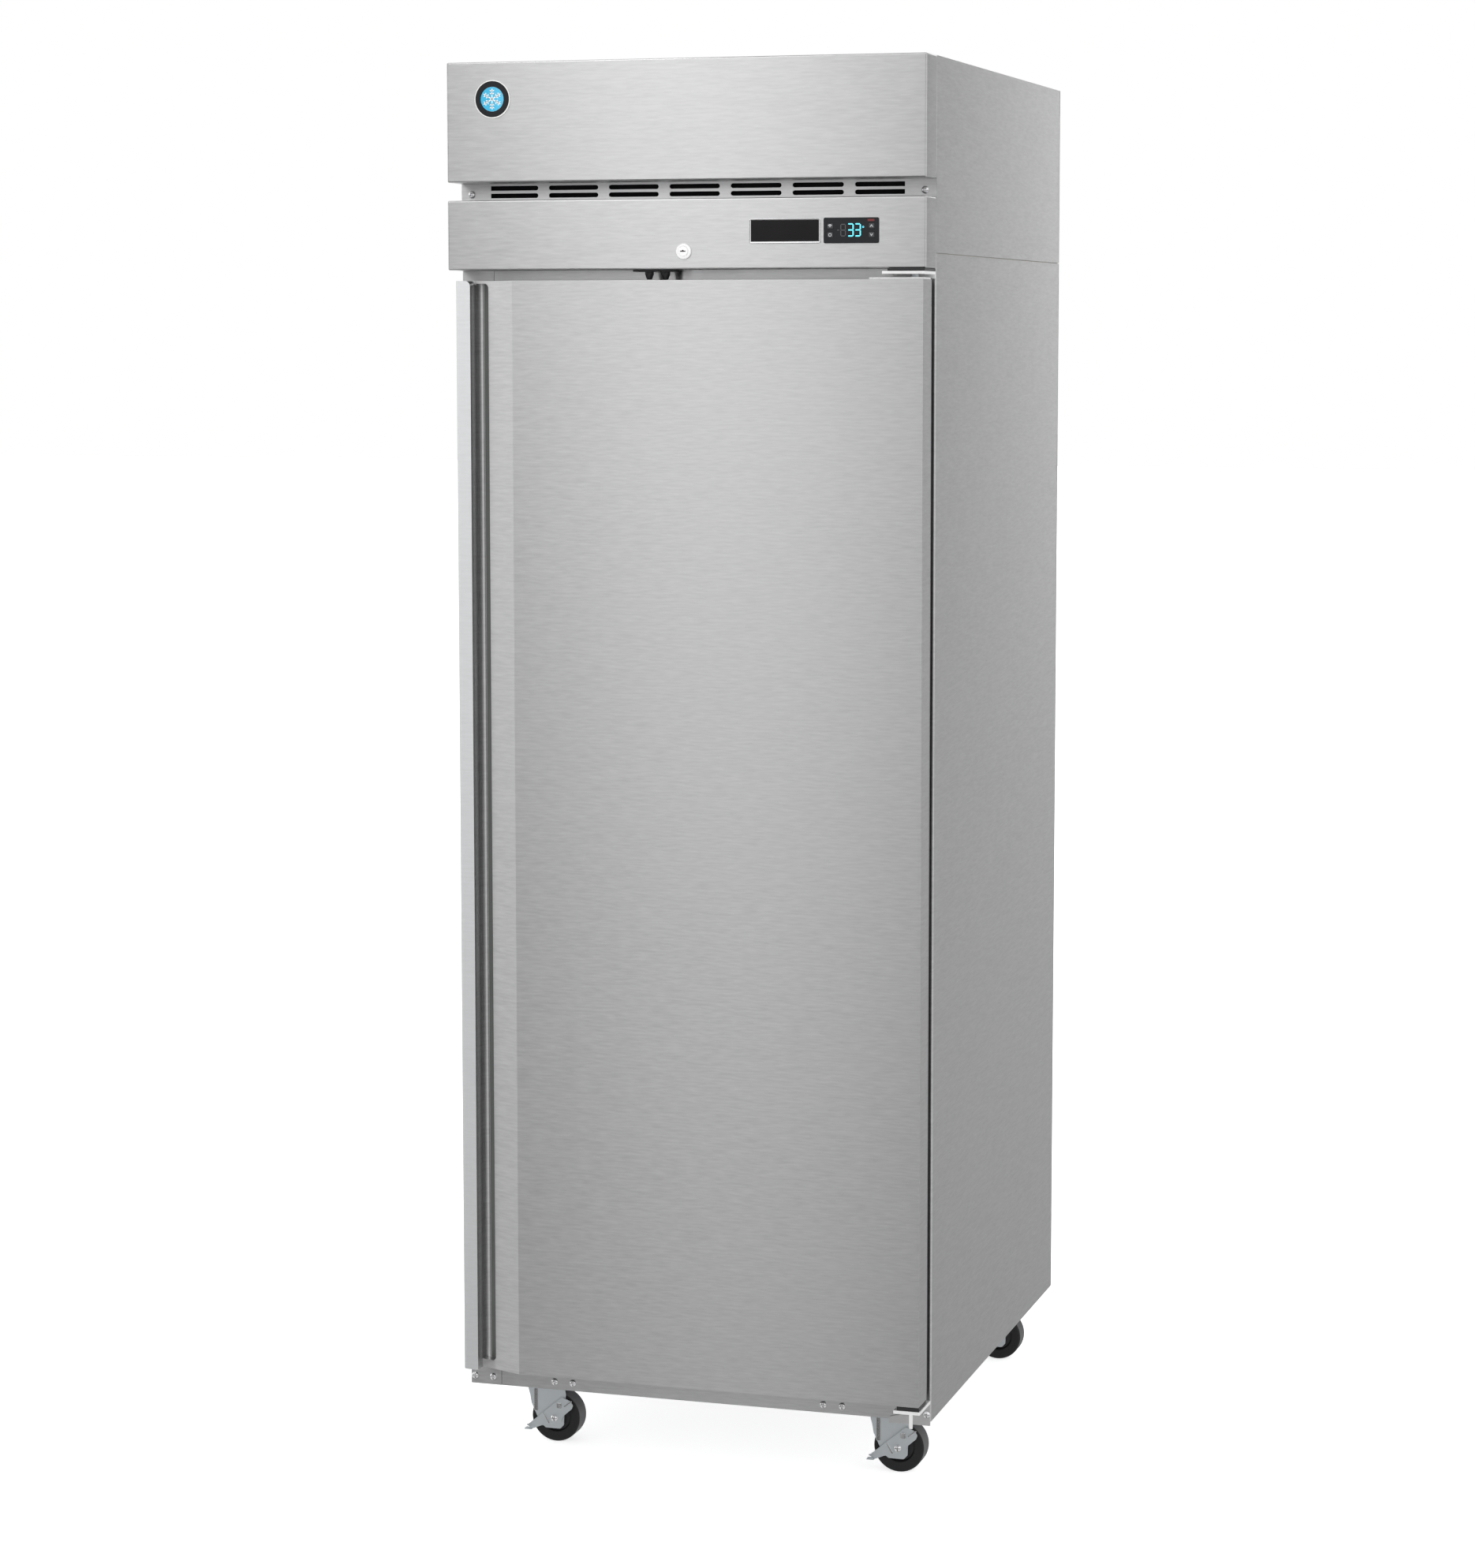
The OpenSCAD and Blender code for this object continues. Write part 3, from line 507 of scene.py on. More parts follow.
def glowing(name, colour, strength):
    """A lit plastic."""
    p = Paint(name, roughness=0.35)
    shade = p.blend(p.range(p.noise((900,) * 3, 2.0), 0.0, 1.0), colour, tuple(c * 0.9 for c in colour))
    p.into("Base Color", shade)
    p.into("Emission Color", shade)
    p.bsdf.inputs["Emission Strength"].default_value = strength
    return p.material


STEEL = brushed("brushed_steel", 0.66, 0.29)
GALVANISED = galvanised("galvanised_sheet", 0.62, 0.42)
LINER_STEEL = brushed("liner_steel", 0.70, 0.40, 0.04)
GREY_PLASTIC = plastic("grey_breaker_plastic", (0.30, 0.30, 0.31), 0.5)
FOAM = foam("polyurethane_foam")
WHITE_WIRE = plastic("white_epoxy_wire", (0.80, 0.80, 0.78), 0.32, coat=0.3)
LAMP_PLASTIC = plastic("lamp_diffuser", (0.86, 0.86, 0.84), 0.38)
FINS = metal("fin_aluminium", (0.78, 0.79, 0.80), 0.38)
MOTOR_METAL = metal("motor_casting", (0.36, 0.36, 0.37), 0.5, 0.2)
ENAMEL = plastic("black_enamel", (0.018, 0.018, 0.02), 0.28, 300, 0.05, 0.2, 0.4)
COPPER = metal("copper_pipe", (0.80, 0.42, 0.26), 0.28, 0.3)
WHITE_PLASTIC = plastic("white_plastic", (0.78, 0.78, 0.76), 0.42)
# Polished trim for the screws, the nameplate's rim and the axle bolts; on the fork's cheeks and the brake's
# plate its brightness is a painted highlight.
BRIGHT_TRIM_AND_PAINTED_HIGHLIGHT = metal("polished_trim_and_painted_highlight", (0.86, 0.86, 0.87), 0.16, 0.05)
GLASS_BLACK = plastic("display_glass", (0.016, 0.017, 0.019), 0.25, 1800, 0.02, 0.1, 0.0, 0.2)
BLACK_PLASTIC = plastic("black_plastic", (0.022, 0.022, 0.024), 0.42)
HINGE_STEEL = metal("hinge_plate", (0.84, 0.84, 0.84), 0.30, 0.05, metallic=0.35)
BRACKET_STEEL = metal("hinge_bracket", (0.46, 0.46, 0.46), 0.34, 0.05, metallic=0.5)
CHROME = metal("lock_chrome", (0.90, 0.90, 0.90), 0.22, 0.03, metallic=0.30)
ZINC = metal("zinc_plate", (0.62, 0.66, 0.68), 0.34, 0.08, metallic=0.65)
RUBBER = plastic("gasket_rubber", (0.060, 0.060, 0.064), 0.62, 900, 0.1)
TYRE = plastic("tyre_rubber", (0.014, 0.014, 0.015), 0.55, 700, 0.15, specular=0.3)
# Lighter grey for the wheels' treads: a painted sheen.
TREAD_PAINTED_SHEEN = plastic("tread_painted_sheen", (0.075, 0.075, 0.078), 0.42, 700, 0.10)
# The door's lip: steel whose lighter top is a painted reflection.
LIP_PAINTED_REFLECTION = painted_reflection_satin("lip_painted_reflection", (0.345, 0.350, 0.354), (0.56, 0.57, 0.575), 0.42)
# Dark grey for the floor of the finger recess: painted shade in the recess.
POCKET_PAINTED_SHADE = plastic("recess_painted_shade", (0.13, 0.138, 0.13), 0.45)
BUTTON = plastic("button_plastic", (0.045, 0.046, 0.050), 0.30)
FAN_PLASTIC = plastic("fan_plastic", (0.030, 0.030, 0.032), 0.45)
FILTER_PAINTED_SHADE = plastic("filter_mat_painted_shade", (0.010, 0.010, 0.011), 0.95, 500, 0.5, 0.3, 0.0, 0.1)
CYAN_GLOW = glowing("lit_segment", (0.10, 0.62, 0.78), 1.0)
BADGE_BLUE = plastic("badge_enamel", (0.04, 0.42, 0.66), 0.22, 900, 0.03, 0.15, 0.5)
NAMEPLATE = plastic("nameplate_enamel", (0.010, 0.009, 0.010), 0.32, 900, 0.03, 0.1, 0.0, 0.2)
UNLIT = plastic("unlit_segment", (0.075, 0.077, 0.080), 0.35)
DIM_RED = plastic("unlit_lamp", (0.16, 0.02, 0.02), 0.35)
MARK = plastic("button_mark", (0.42, 0.43, 0.44), 0.45)

# ---- joints ----

JOINTS = {j["name"]: j for j in frame["joints"]}


def joint_at(name):
    """Where a joint's axis is, in cabinet millimetres."""
    x, y, z = JOINTS[name]["pos_m"]
    return x / MM, (y - FRONT_Y) / MM, z / MM


CABINET = "cabinet"


# ---- cabinet sheet metal ----


def channels(name, b, front, rear):
    """The two side sheets, each with flanges folded in at the front and the back."""

    def build(bm):
        for s in (-1, 1):
            line = [(s * (b.x1 - front), b.y0), (s * b.x1, b.y0), (s * b.x1, b.y1),
                    (s * (b.x1 - rear), b.y1)]
            add_prism(bm, folded(line[::s], SHEET), b.z0, b.z1)

    return make(name, build)


def front_box(name, b):
    """A folded box of sheet steel, open at the back."""
    beyond = 20
    made = make(name, boxes((b.xs, (b.y0, b.y1 + beyond), b.zs)))
    bevel(made, FOLD)
    cut(made, boxes((wider(b.xs, 1), (b.y1, b.y1 + 2 * beyond), wider(b.zs, 1))))
    inside = (wider(b.xs, -SHEET), (b.y0 + SHEET, b.y1 + beyond), wider(b.zs, -SHEET))
    return cut(made, boxes(inside))


def slot_outline(x0, x1, z0, z1, left_round=True, right_round=True):
    """A slot in XZ whose ends are round or square."""
    r = (z1 - z0) / 2
    z = (z0 + z1) / 2
    steps = 8
    right = [(x1, z0), (x1, z1)]
    left = [(x0, z1), (x0, z0)]
    if right_round:
        right = arc(x1 - r, z, r, [math.pi * (i / steps - 0.5) for i in range(steps + 1)])
    if left_round:
        left = arc(x0 + r, z, r, [math.pi * (i / steps + 0.5) for i in range(steps + 1)])
    return right + left


def sheet_metal():
    """The cabinet's folded sheets, the vent strip with its filter, near-black as painted shade behind the
    slots, and the front rails.
    """
    lower_flange, upper_flange, rear_flange = 48, 18, 25
    dress(channels("side_panel_sheets", SIDES, lower_flange, rear_flange), CABINET, STEEL, "side_panels")

    upper = channels("upper_side_sheets", cad("upper_side_panels"), upper_flange, rear_flange)
    for s in (-1, 1):
        notch_x = sorted((s * (HALF_W - upper_flange - 2), s * (HALF_W + 1)))
        cut(upper, boxes((notch_x, (-1, SHEET + 0.1), wider(VENT.zs, 0.2))))
    dress(upper, CABINET, STEEL, "upper_side_panels")

    dress(front_box("upper_front_cover", UPPER), CABINET, STEEL, "upper_front_panel")

    vents = make("vent_strip", boxes((VENT.xs, VENT.ys, VENT.zs)))
    slot_l, slot_h, outer_end = 74, 6.6, 304.5
    rows = (UPPER.z0 - 6.4, LOWER.z1 + 8.2)

    def slots(bm):
        for i in range(-3, 4):
            x = i * 90
            ends = [x - slot_l / 2, x + slot_l / 2]
            if i == -3:
                ends[0] = -outer_end
            if i == 3:
                ends[1] = outer_end
            for z in rows:
                outline = slot_outline(*ends, z - slot_h / 2, z + slot_h / 2, i > -3, i < 3)
                add_prism(bm, outline, -5, 5, "Y")

    cut(vents, slots)
    dress(vents, CABINET, STEEL, "vent_panel")
    screen_x = outer_end + 12
    # The filter mat behind the vent slots, made near-black as painted shade so that the slots read dark.
    piece("vent_filter", CABINET, FILTER_PAINTED_SHADE,
          boxes(((-screen_x, screen_x), (VENT.y1 + 8, VENT.y1 + 14), (VENT.z0, VENT.z1 + 20))),
          edge=(1.5, 3))

    lower_cover = front_box("lower_front_cover", LOWER)
    lock_x, _, lock_z = joint_at("lock_turn")
    hole = cad("lock_housing")
    hole_r = (hole.x1 - hole.x0) / 2 - 0.9
    through = (LOWER.y0 - 2, LOWER.y0 + 4)
    cut(lower_cover, prism(disc(lock_x, lock_z, hole_r), *through, "Y"))
    shown = cad("display_housing")
    cut(lower_cover, boxes((wider(shown.xs, -3), through, wider(shown.zs, -3))))
    bolt = cad("lock_bolt")
    switch = cad("switch_housing")
    floor = (LOWER.z0 - 1, LOWER.z0 + SHEET + 1)
    cut(lower_cover, boxes(
        (wider(bolt.xs, 1), wider(bolt.ys, 1), floor),
        (wider(switch.xs, -4), wider(switch.ys, -4), floor)))
    dress(lower_cover, CABINET, STEEL, "lower_front_panel")

    rails = cad("front_rails")
    breaker = cad("breaker_frame")

    def rail_plates(bm):
        for z in ((rails.z0, breaker.z0 - 0.1), (breaker.z1 + 0.1, rails.z1)):
            add_box(bm, rails.xs, rails.ys, z)

    piece("front_rail_plates", CABINET, STEEL, rail_plates, "front_rails", edge=(0.4, 2))


def louvre_hoods():
    """Pressed hoods over the slots in the upper back panel."""
    hood_l, hood_h, proud, pitch, count = 156, 11, 4.5, 16, 7
    first_z = UPPER.z0 + 18.3

    def build(bm):
        for x in (-200, 0, 200):
            for row in range(count):
                foot = first_z + row * pitch - 3.4
                outer = arc(BACK.y1 + 0.05, foot, proud, turns(6), hood_h)
                inner = [(y - 0.9, z - 0.9) for y, z in outer[:-1]]
                add_prism(bm, outer + inner[::-1], x - hood_l / 2, x + hood_l / 2, "X")

    piece("louvre_hoods", CABINET, GALVANISED, build, edge=(0.3, 1))


def screws():
    """Pan-head screws, each with a cross recess."""
    low = SIDES.z0 + 12
    head_h = 4.2
    spots = [(x, 0, low, False) for x in (-342, -314, -217.8, -189.8, 190.6, 218.6)]
    spots += [(344, -3, low - 1, False)]
    spots += [(s * 333.5, 0, LOWER.z1 + 10.2, False) for s in (-1, 1)]
    rear_z = (SIDES.z1 - 14.5, 1330, 940, 908, 520, SIDES.z0 + 14)
    spots += [(s * (HALF_W - 12), BACK.y1, z, True) for s in (-1, 1) for z in rear_z]

    def build(bm):
        radius, rim = 5.4, 0.9
        dome = arc(0, rim, radius, turns(9)[:-1], head_h - rim)
        for x, y, z, rear in spots:
            place = (facing_back if rear else facing_front)(x, y, z)
            add_lathe(bm, [(radius, 0.0)] + dome + [(0, head_h)], place, 28)

    made = make("pan_head_screws", build)
    for across, up in ((1.7, 0.35), (0.35, 1.7)):
        bars = []
        for x, y, z, rear in spots:
            side = 1 if rear else -1
            bars.append((about(x, across), sorted((y + side * 2.9, y + side * 6)), about(z, up)))
        cut(made, boxes(*bars))
    dress(made, CABINET, BRIGHT_TRIM_AND_PAINTED_HIGHLIGHT, "cabinet_screws")


# ---- door ----

DOOR_FACE = DOOR.y0
LIP_W = 23.4
LIP_Y = DOOR_FACE + 5
LIP_ROUND = 8
LIP_X = DOOR.x0 + LIP_W
BEVEL_X = DOOR.x0 + 88.7
BEVEL_TAN = math.tan(math.radians(21))
POCKET_X = LIP_X + 23.5
POCKET_Y = DOOR_FACE + 38
POCKET_Z = (DOOR.z0 + 12, DOOR.z1 - 4)
HINGE_X, HINGE_Y, _ = joint_at("door_hinge")
BUSH_R = 9


def bevel_y(x, t=0.0):
    """The bevel's line at x, moved inwards by t."""
    return DOOR_FACE + t * math.hypot(1, BEVEL_TAN) + (BEVEL_X - x) * BEVEL_TAN


def door_outline(t, back):
    """The door in plan, moved inwards by t."""
    lip = arc(DOOR.x0 + LIP_ROUND, LIP_Y + LIP_ROUND, LIP_ROUND - t,
              [math.radians(270 - 10 * i) for i in range(10)])
    return [(DOOR.x1 - t, back), (DOOR.x1 - t, DOOR_FACE + t), (BEVEL_X, DOOR_FACE + t),
            (LIP_X - t, bevel_y(LIP_X - t, t)), (LIP_X - t, LIP_Y + t)] + lip + [(DOOR.x0 + t, back)]


def pocket(grow):
    """The finger recess: rounded where its floor meets the lip, and at its top and bottom corners."""
    round_r = 9
    corner = 6.5
    x0 = LIP_X - grow
    x1 = POCKET_X + grow
    floor = POCKET_Y + grow
    fold = arc(x0 + round_r, floor - round_r, round_r, [math.radians(180 - 15 * i) for i in range(7)])
    plan = [(x1, DOOR_FACE - 5), (x0, DOOR_FACE - 5)] + fold + [(x1, floor)]
    z = (POCKET_Z[0] - grow, POCKET_Z[1] + 3 * grow)
    face = rounded_rect(x0 - 40, x1, *z, corner)
    keep = make("keep", prism(face, DOOR_FACE - 20, POCKET_Y + 20, "Y"))
    return cut_with(make("pocket", prism(plan, *z)), keep, "INTERSECT")


def door_skin():
    """The door's folded steel skin with its bevel, lip and finger recess, and its foam."""
    beyond = 15
    pan = cad("door_inner_panel")
    corner = 7.7

    def lip_corner(bm, t=0.0):
        x, z = LIP_X - corner, DOOR.z1 - corner
        rounded = arc(x, z, corner - t, [math.radians(15 * i) for i in range(7)])
        outside = [(x, DOOR.z1 + 1), (LIP_X + 0.5, DOOR.z1 + 1), (LIP_X + 0.5, z)]
        add_prism(bm, rounded + outside, DOOR_FACE - 5, POCKET_Y - 9 + t, "Y")

    def block(name, t, back):
        made = make(name, prism(door_outline(t, back), DOOR.z0 + t, DOOR.z1 - t))
        cut_with(made, pocket(t))
        return cut(made, lambda bm: lip_corner(bm, t))

    made = block("door_skin", 0, DOOR.y1 + beyond)
    bevel(made, 1.6, 6, 32)
    cut(made, boxes((wider(DOOR.xs, 5), (DOOR.y1, DOOR.y1 + 2 * beyond), wider(DOOR.zs, 5))))
    cut_with(made, block("inner", SHEET, DOOR.y1 - SHEET))
    hem = 8
    cut(made, boxes((wider(DOOR.xs, -hem), (DOOR.y1 - 5, DOOR.y1 + 5), wider(DOOR.zs, -hem))))
    bolt = cad("lock_bolt")
    strike = slot_outline(bolt.x0 - 2, bolt.x1 + 50, bolt.y0 - 1.5, bolt.y1 + 1.5)
    cut(made, prism(strike, DOOR.z1 - 5, DOOR.z1 + 2))

    def bores(bm):
        for z in (DOOR.z0 - 2, DOOR.z1 - 4):
            add_prism(bm, disc(HINGE_X, HINGE_Y, BUSH_R + 0.1), z, z + 6)

    cut(made, bores)
    dress(made, "door", STEEL, "door_shell", sharp=17)
    # Painted shade: the floor of the finger recess takes a dark grey.
    paint_faces(made, POCKET_PAINTED_SHADE,
                lambda c, n: LIP_X + 8 < c.x < POCKET_X + 1 and c.y > POCKET_Y - 1 and n.y < -0.9)
    # Painted reflection: the lip's faces take the steel that is lighter towards the top.
    paint_faces(made, LIP_PAINTED_REFLECTION, lambda c, n: c.x < LIP_X - 0.5 and c.y < LIP_Y + LIP_ROUND)

    foam_back = DOOR.y1 - SHEET - 0.2
    made = block("door_foam", SHEET + 0.2, foam_back)
    hollow = 25
    bush_room = ((HINGE_X - 14, DOOR.x1 + 5), about(HINGE_Y, 14))
    cut(made, boxes((*bush_room, (DOOR.z0 - 1, DOOR.z0 + hollow)),
                    (*bush_room, (DOOR.z1 - hollow, DOOR.z1 + 1)),
                    ((bolt.x0 - 3, bolt.x1 + 51), wider(bolt.ys, 2.5), (DOOR.z1 - 22, DOOR.z1 + 1))))
    dress(made, "door", FOAM, "door_insulation")
    core = make("door_foam_core", boxes((pan.xs, (foam_back, pan.y0 - 0.1), pan.zs)))
    dress(core, "door", FOAM, "door_insulation")
    paint_faces(made, BLACK_PLASTIC,
                lambda c, n: c.z > DOOR.z1 - 23 and bolt.x0 - 4 < c.x < bolt.x1 + 52
                and bolt.y0 - 3 < c.y < bolt.y1 + 3)


def door_back():
    """The door's plastic frame, gasket and inner panel."""
    frame_box = cad("door_frame")
    rim = 42
    edge = rounded_rect(frame_box.x0, frame_box.x1, frame_box.z0, frame_box.z1, 2)
    made = make("door_plastic_frame", prism(edge, frame_box.y0, frame_box.y1, "Y"))
    cut(made, boxes((wider(frame_box.xs, -rim), wider(frame_box.ys, 5),
                     wider(frame_box.zs, -rim))))
    bevel(made, 1.2, 3)
    seal = cad("door_gasket")
    seal_w = 20
    dart = 2.6
    middle = seal_w / 2
    path = (seal.x0 + middle, seal.x1 - middle, seal.z0 + middle, seal.z1 - middle)
    turn_r = 10.5
    groove = [(-dart, seal.y0), (dart, seal.y0), (dart, frame_box.y1 + 2), (-dart, frame_box.y1 + 2)]
    cut(made, lambda bm: add_ring(bm, path, turn_r, groove, 6))
    dress(made, "door", BLACK_PLASTIC, "door_frame")

    face = frame_box.y1 + 0.02
    out = seal.y1
    left = [(-middle, face), (-middle, face + 1.3), (-middle + 1.2, out - 0.3), (-middle + 3.0, out),
            (-4.2, out - 0.2), (-3.2, face + 1.4), (-2.2, out - 0.1)]
    foot = [(2.4, face), (2.4, seal.y0 + 1), (1.4, seal.y0)]
    bellows = left + [(-o, y) for o, y in left[::-1]] + foot + [(-o, y) for o, y in foot[::-1]]
    piece("door_seal", "door", RUBBER, lambda bm: add_ring(bm, path, turn_r, bellows, 6), "door_gasket")

    pan = cad("door_inner_panel")
    raised = 30
    step_y = 1.2
    rings = ((0, pan.y1), (raised, pan.y1), (raised + 6, pan.y1 + step_y), (raised + 60, pan.y1 + step_y))

    def pressed(bm):
        front = []
        for inset, y in rings:
            outline = rounded_rect(pan.x0 + inset, pan.x1 - inset, pan.z0 + inset, pan.z1 - inset,
                                   2 + inset * 0.4)
            front.append([bm.verts.new((x, y, z)) for x, z in outline])
        rear = [bm.verts.new((v.co.x, pan.y0, v.co.z)) for v in front[0]]
        face_loop(bm, [rear] + front)
        bm.faces.new(rear)
        bm.faces.new(front[-1])

    piece("door_liner_pan", "door", LINER_STEEL, pressed, "door_inner_panel")


def hinge():
    """The hinge plates on the cabinet and the fittings that they carry the door on."""
    fittings = cad("door_hinge_fittings")
    plates = cad("hinge_brackets")
    front = plates.y0
    right = plates.x1
    top_z = (LOWER.z0 - 8.2, LOWER.z0 - 3.7)
    bottom_z = (DOOR.z0 - 12.5, DOOR.z0 - 7.5)
    pin_r = 5
    top_x, spacer_x, bottom_x, flange_x, fitting_x, foot_x = 288, 296, 310, 289, 270, 315

    piece("top_hinge_plate", CABINET, HINGE_STEEL, boxes(((top_x, right), (front, -0.1), top_z)),
          "hinge_brackets", edge=(1.0, 2))
    piece("top_hinge_leg", CABINET, HINGE_STEEL,
          boxes(((top_x, right), (-2.6, -0.15), (DOOR.z1 + 1.3, top_z[0] + 0.5))), edge=(0.5, 2))
    # A black block filling the gap between the top hinge plate and the lower front panel: painted shade in
    # that gap.
    piece("hinge_gap_painted_shade", CABINET, BLACK_PLASTIC,
          boxes(((spacer_x, right), (front, -1), (top_z[1] + 0.1, LOWER.z0 - 0.2))), edge=(0.5, 2))

    piece("bottom_hinge_plate", CABINET, HINGE_STEEL, boxes(((bottom_x, right), (front, -0.1), bottom_z)),
          edge=(1.0, 2))
    base = SIDES.z0
    flange = [(flange_x, base - 5.5), (right, base - 5.5), (right, bottom_z[0] + 0.5),
              (bottom_x + 2, bottom_z[0] + 0.5), (bottom_x - 5, base + 8), (flange_x, base + 4)]
    piece("bottom_hinge_flange", CABINET, BRACKET_STEEL, prism(flange, -3.0, -0.1, "Y"), edge=(0.8, 2))
    piece("bottom_hinge_tab", CABINET, HINGE_STEEL,
          boxes(((333, 338), (front, front + 2.5), (bottom_z[0] - 20, bottom_z[0] + 0.5))),
          edge=(0.6, 2))

    def pins(bm):
        for z0, z1 in ((DOOR.z1 - 12, top_z[0] + 1), (bottom_z[1] - 1, DOOR.z0 + 12)):
            add_lathe(bm, [(pin_r - 0.8, z0), (pin_r, z0 + 0.8), (pin_r, z1)],
                      upright(HINGE_X, HINGE_Y, 0), 32)

    piece("hinge_pins", CABINET, ZINC, pins)

    plate_back = fittings.y1
    made = make("door_top_fitting",
                boxes(((fitting_x, DOOR.x1 - 1), (front, plate_back), (DOOR.z1, fittings.z1))))
    bore = disc(HINGE_X, HINGE_Y, pin_r + 0.05)
    cut(made, prism(bore, DOOR.z1 - 5, fittings.z1 + 5))
    dress(bevel(made, 0.5, 2), "door", HINGE_STEEL, "door_hinge_fittings")
    made = make("door_foot_plate",
                boxes(((foot_x, DOOR.x1 - 0.5), (front, plate_back), (fittings.z0, DOOR.z0))))
    cut(made, prism(bore, DOOR.z0 - 10, DOOR.z0 + 5))
    dress(bevel(made, 0.5, 2), "door", BLACK_PLASTIC)

    def bushes(bm):
        for z0, z1 in ((DOOR.z1 - 16, DOOR.z1 - 0.1), (DOOR.z0 + 0.1, DOOR.z0 + 16)):
            ring = [(pin_r + 0.05, z0), (BUSH_R - 0.5, z0), (BUSH_R, z0 + 0.5), (BUSH_R, z1),
                    (pin_r + 0.05, z1)]
            add_lathe(bm, ring, upright(HINGE_X, HINGE_Y, 0), 40, closed=True)

    piece("hinge_bushes", "door", WHITE_PLASTIC, bushes)


# ---- lock, door switch, display and badges ----


def add_star(bm, x, z, length, y):
    """A six-armed snow star in low relief."""
    for arm in range(6):
        a = math.pi / 3 * arm + math.pi / 2
        along = Vector((math.cos(a), math.sin(a)))
        across = Vector((-along.y, along.x))
        centre = Vector((x, z))
        half = 0.75
        bar = [centre - across * half, centre + along * length - across * half,
               centre + along * length + across * half, centre + across * half]
        add_prism(bm, [tuple(p) for p in bar], *y, "Y")
        for share in (0.45, 0.72):
            root = centre + along * length * share
            for s in (-1, 1):
                tip = root + (along + across * s * 1.5).normalized() * length * 0.26
                wide = across * s * -0.45 + along * 0.45
                twig = [root - wide, tip - wide, tip + wide, root + wide]
                add_prism(bm, [tuple(p) for p in twig], *y, "Y")


def badges():
    """The round badge with its snow star, and the blank nameplate."""
    face = UPPER.y0
    plates = cad("badges")
    radius = 26.6
    x = plates.x0 + 25.5
    z = plates.z1 - 25.5
    rim = [(radius, 0.05)] + arc(radius - 0.9, 1.0, 0.9, turns(6), 1.1)
    body = rim + [(radius - 1.3, 1.9), (radius - 1.6, 1.5), (0, 1.5)]
    place = facing_front(x, face, z)
    piece("badge_body", CABINET, WHITE_PLASTIC, lathe(body, place, 72), "badges")
    ring = [(17.2, 1.4), (radius - 1.5, 1.4), (radius - 1.5, 1.85), (17.2, 1.85)]
    piece("badge_ring", CABINET, GLASS_BLACK, lathe(ring, place, 72, closed=True))
    inner = [(17.0, 1.4), (17.0, 1.8), (8, 2.05), (0, 2.15)]
    piece("badge_disc", CABINET, BADGE_BLUE, lathe(inner, place, 72))
    piece("badge_star", CABINET, WHITE_PLASTIC,
          lambda bm: add_star(bm, x, z, 14.5, (face - 2.45, face - 1.8)))

    rect = (97, plates.x1, plates.z0, plates.z0 + 34.4)
    border = 2.6
    section = [(-border, -0.02), (0, -0.02), (0, -1.0), (-0.5, -1.5), (-1.6, -1.55), (-2.2, -1.2),
               (-border, -0.9)]
    section = [(o, face + y) for o, y in section]
    piece("nameplate_rim", CABINET, BRIGHT_TRIM_AND_PAINTED_HIGHLIGHT,
          lambda bm: add_ring(bm, rect, border + 0.4, section, 4))
    panel = rounded_rect(*wider(rect[:2], -2), *wider(rect[2:], -2), 1)
    piece("nameplate_face", CABINET, NAMEPLATE, prism(panel, face - 0.8, face - 0.05, "Y"))


EIGHT = ("top", "upper_left", "upper_right", "middle", "lower_left", "lower_right", "bottom")
THREE = ("top", "upper_right", "middle", "lower_right", "bottom")
BUTTONS = ("light", "defrost", "up", "down")


def add_digit(bm, x0, x1, z0, z1, names, y, t=1.7):
    """A seven-segment digit in low relief."""
    gap = 0.25
    zm = (z0 + z1) / 2
    h = t / 2
    lines = {
        "top": ((x0 + h, z1 - h), (x1 - h, z1 - h)), "bottom": ((x0 + h, z0 + h), (x1 - h, z0 + h)),
        "middle": ((x0 + h, zm), (x1 - h, zm)), "upper_left": ((x0 + h, zm), (x0 + h, z1 - h)),
        "upper_right": ((x1 - h, zm), (x1 - h, z1 - h)), "lower_left": ((x0 + h, z0 + h), (x0 + h, zm)),
        "lower_right": ((x1 - h, z0 + h), (x1 - h, zm)),
    }
    for name in names:
        a, b = (Vector(p) for p in lines[name])
        along = (b - a).normalized()
        across = Vector((-along.y, along.x)) * h
        a = a + along * gap
        b = b - along * gap
        bar = [a, a + along * h - across, b - along * h - across, b, b - along * h + across,
               a + along * h + across]
        add_prism(bm, [tuple(p) for p in bar], *y, "Y")


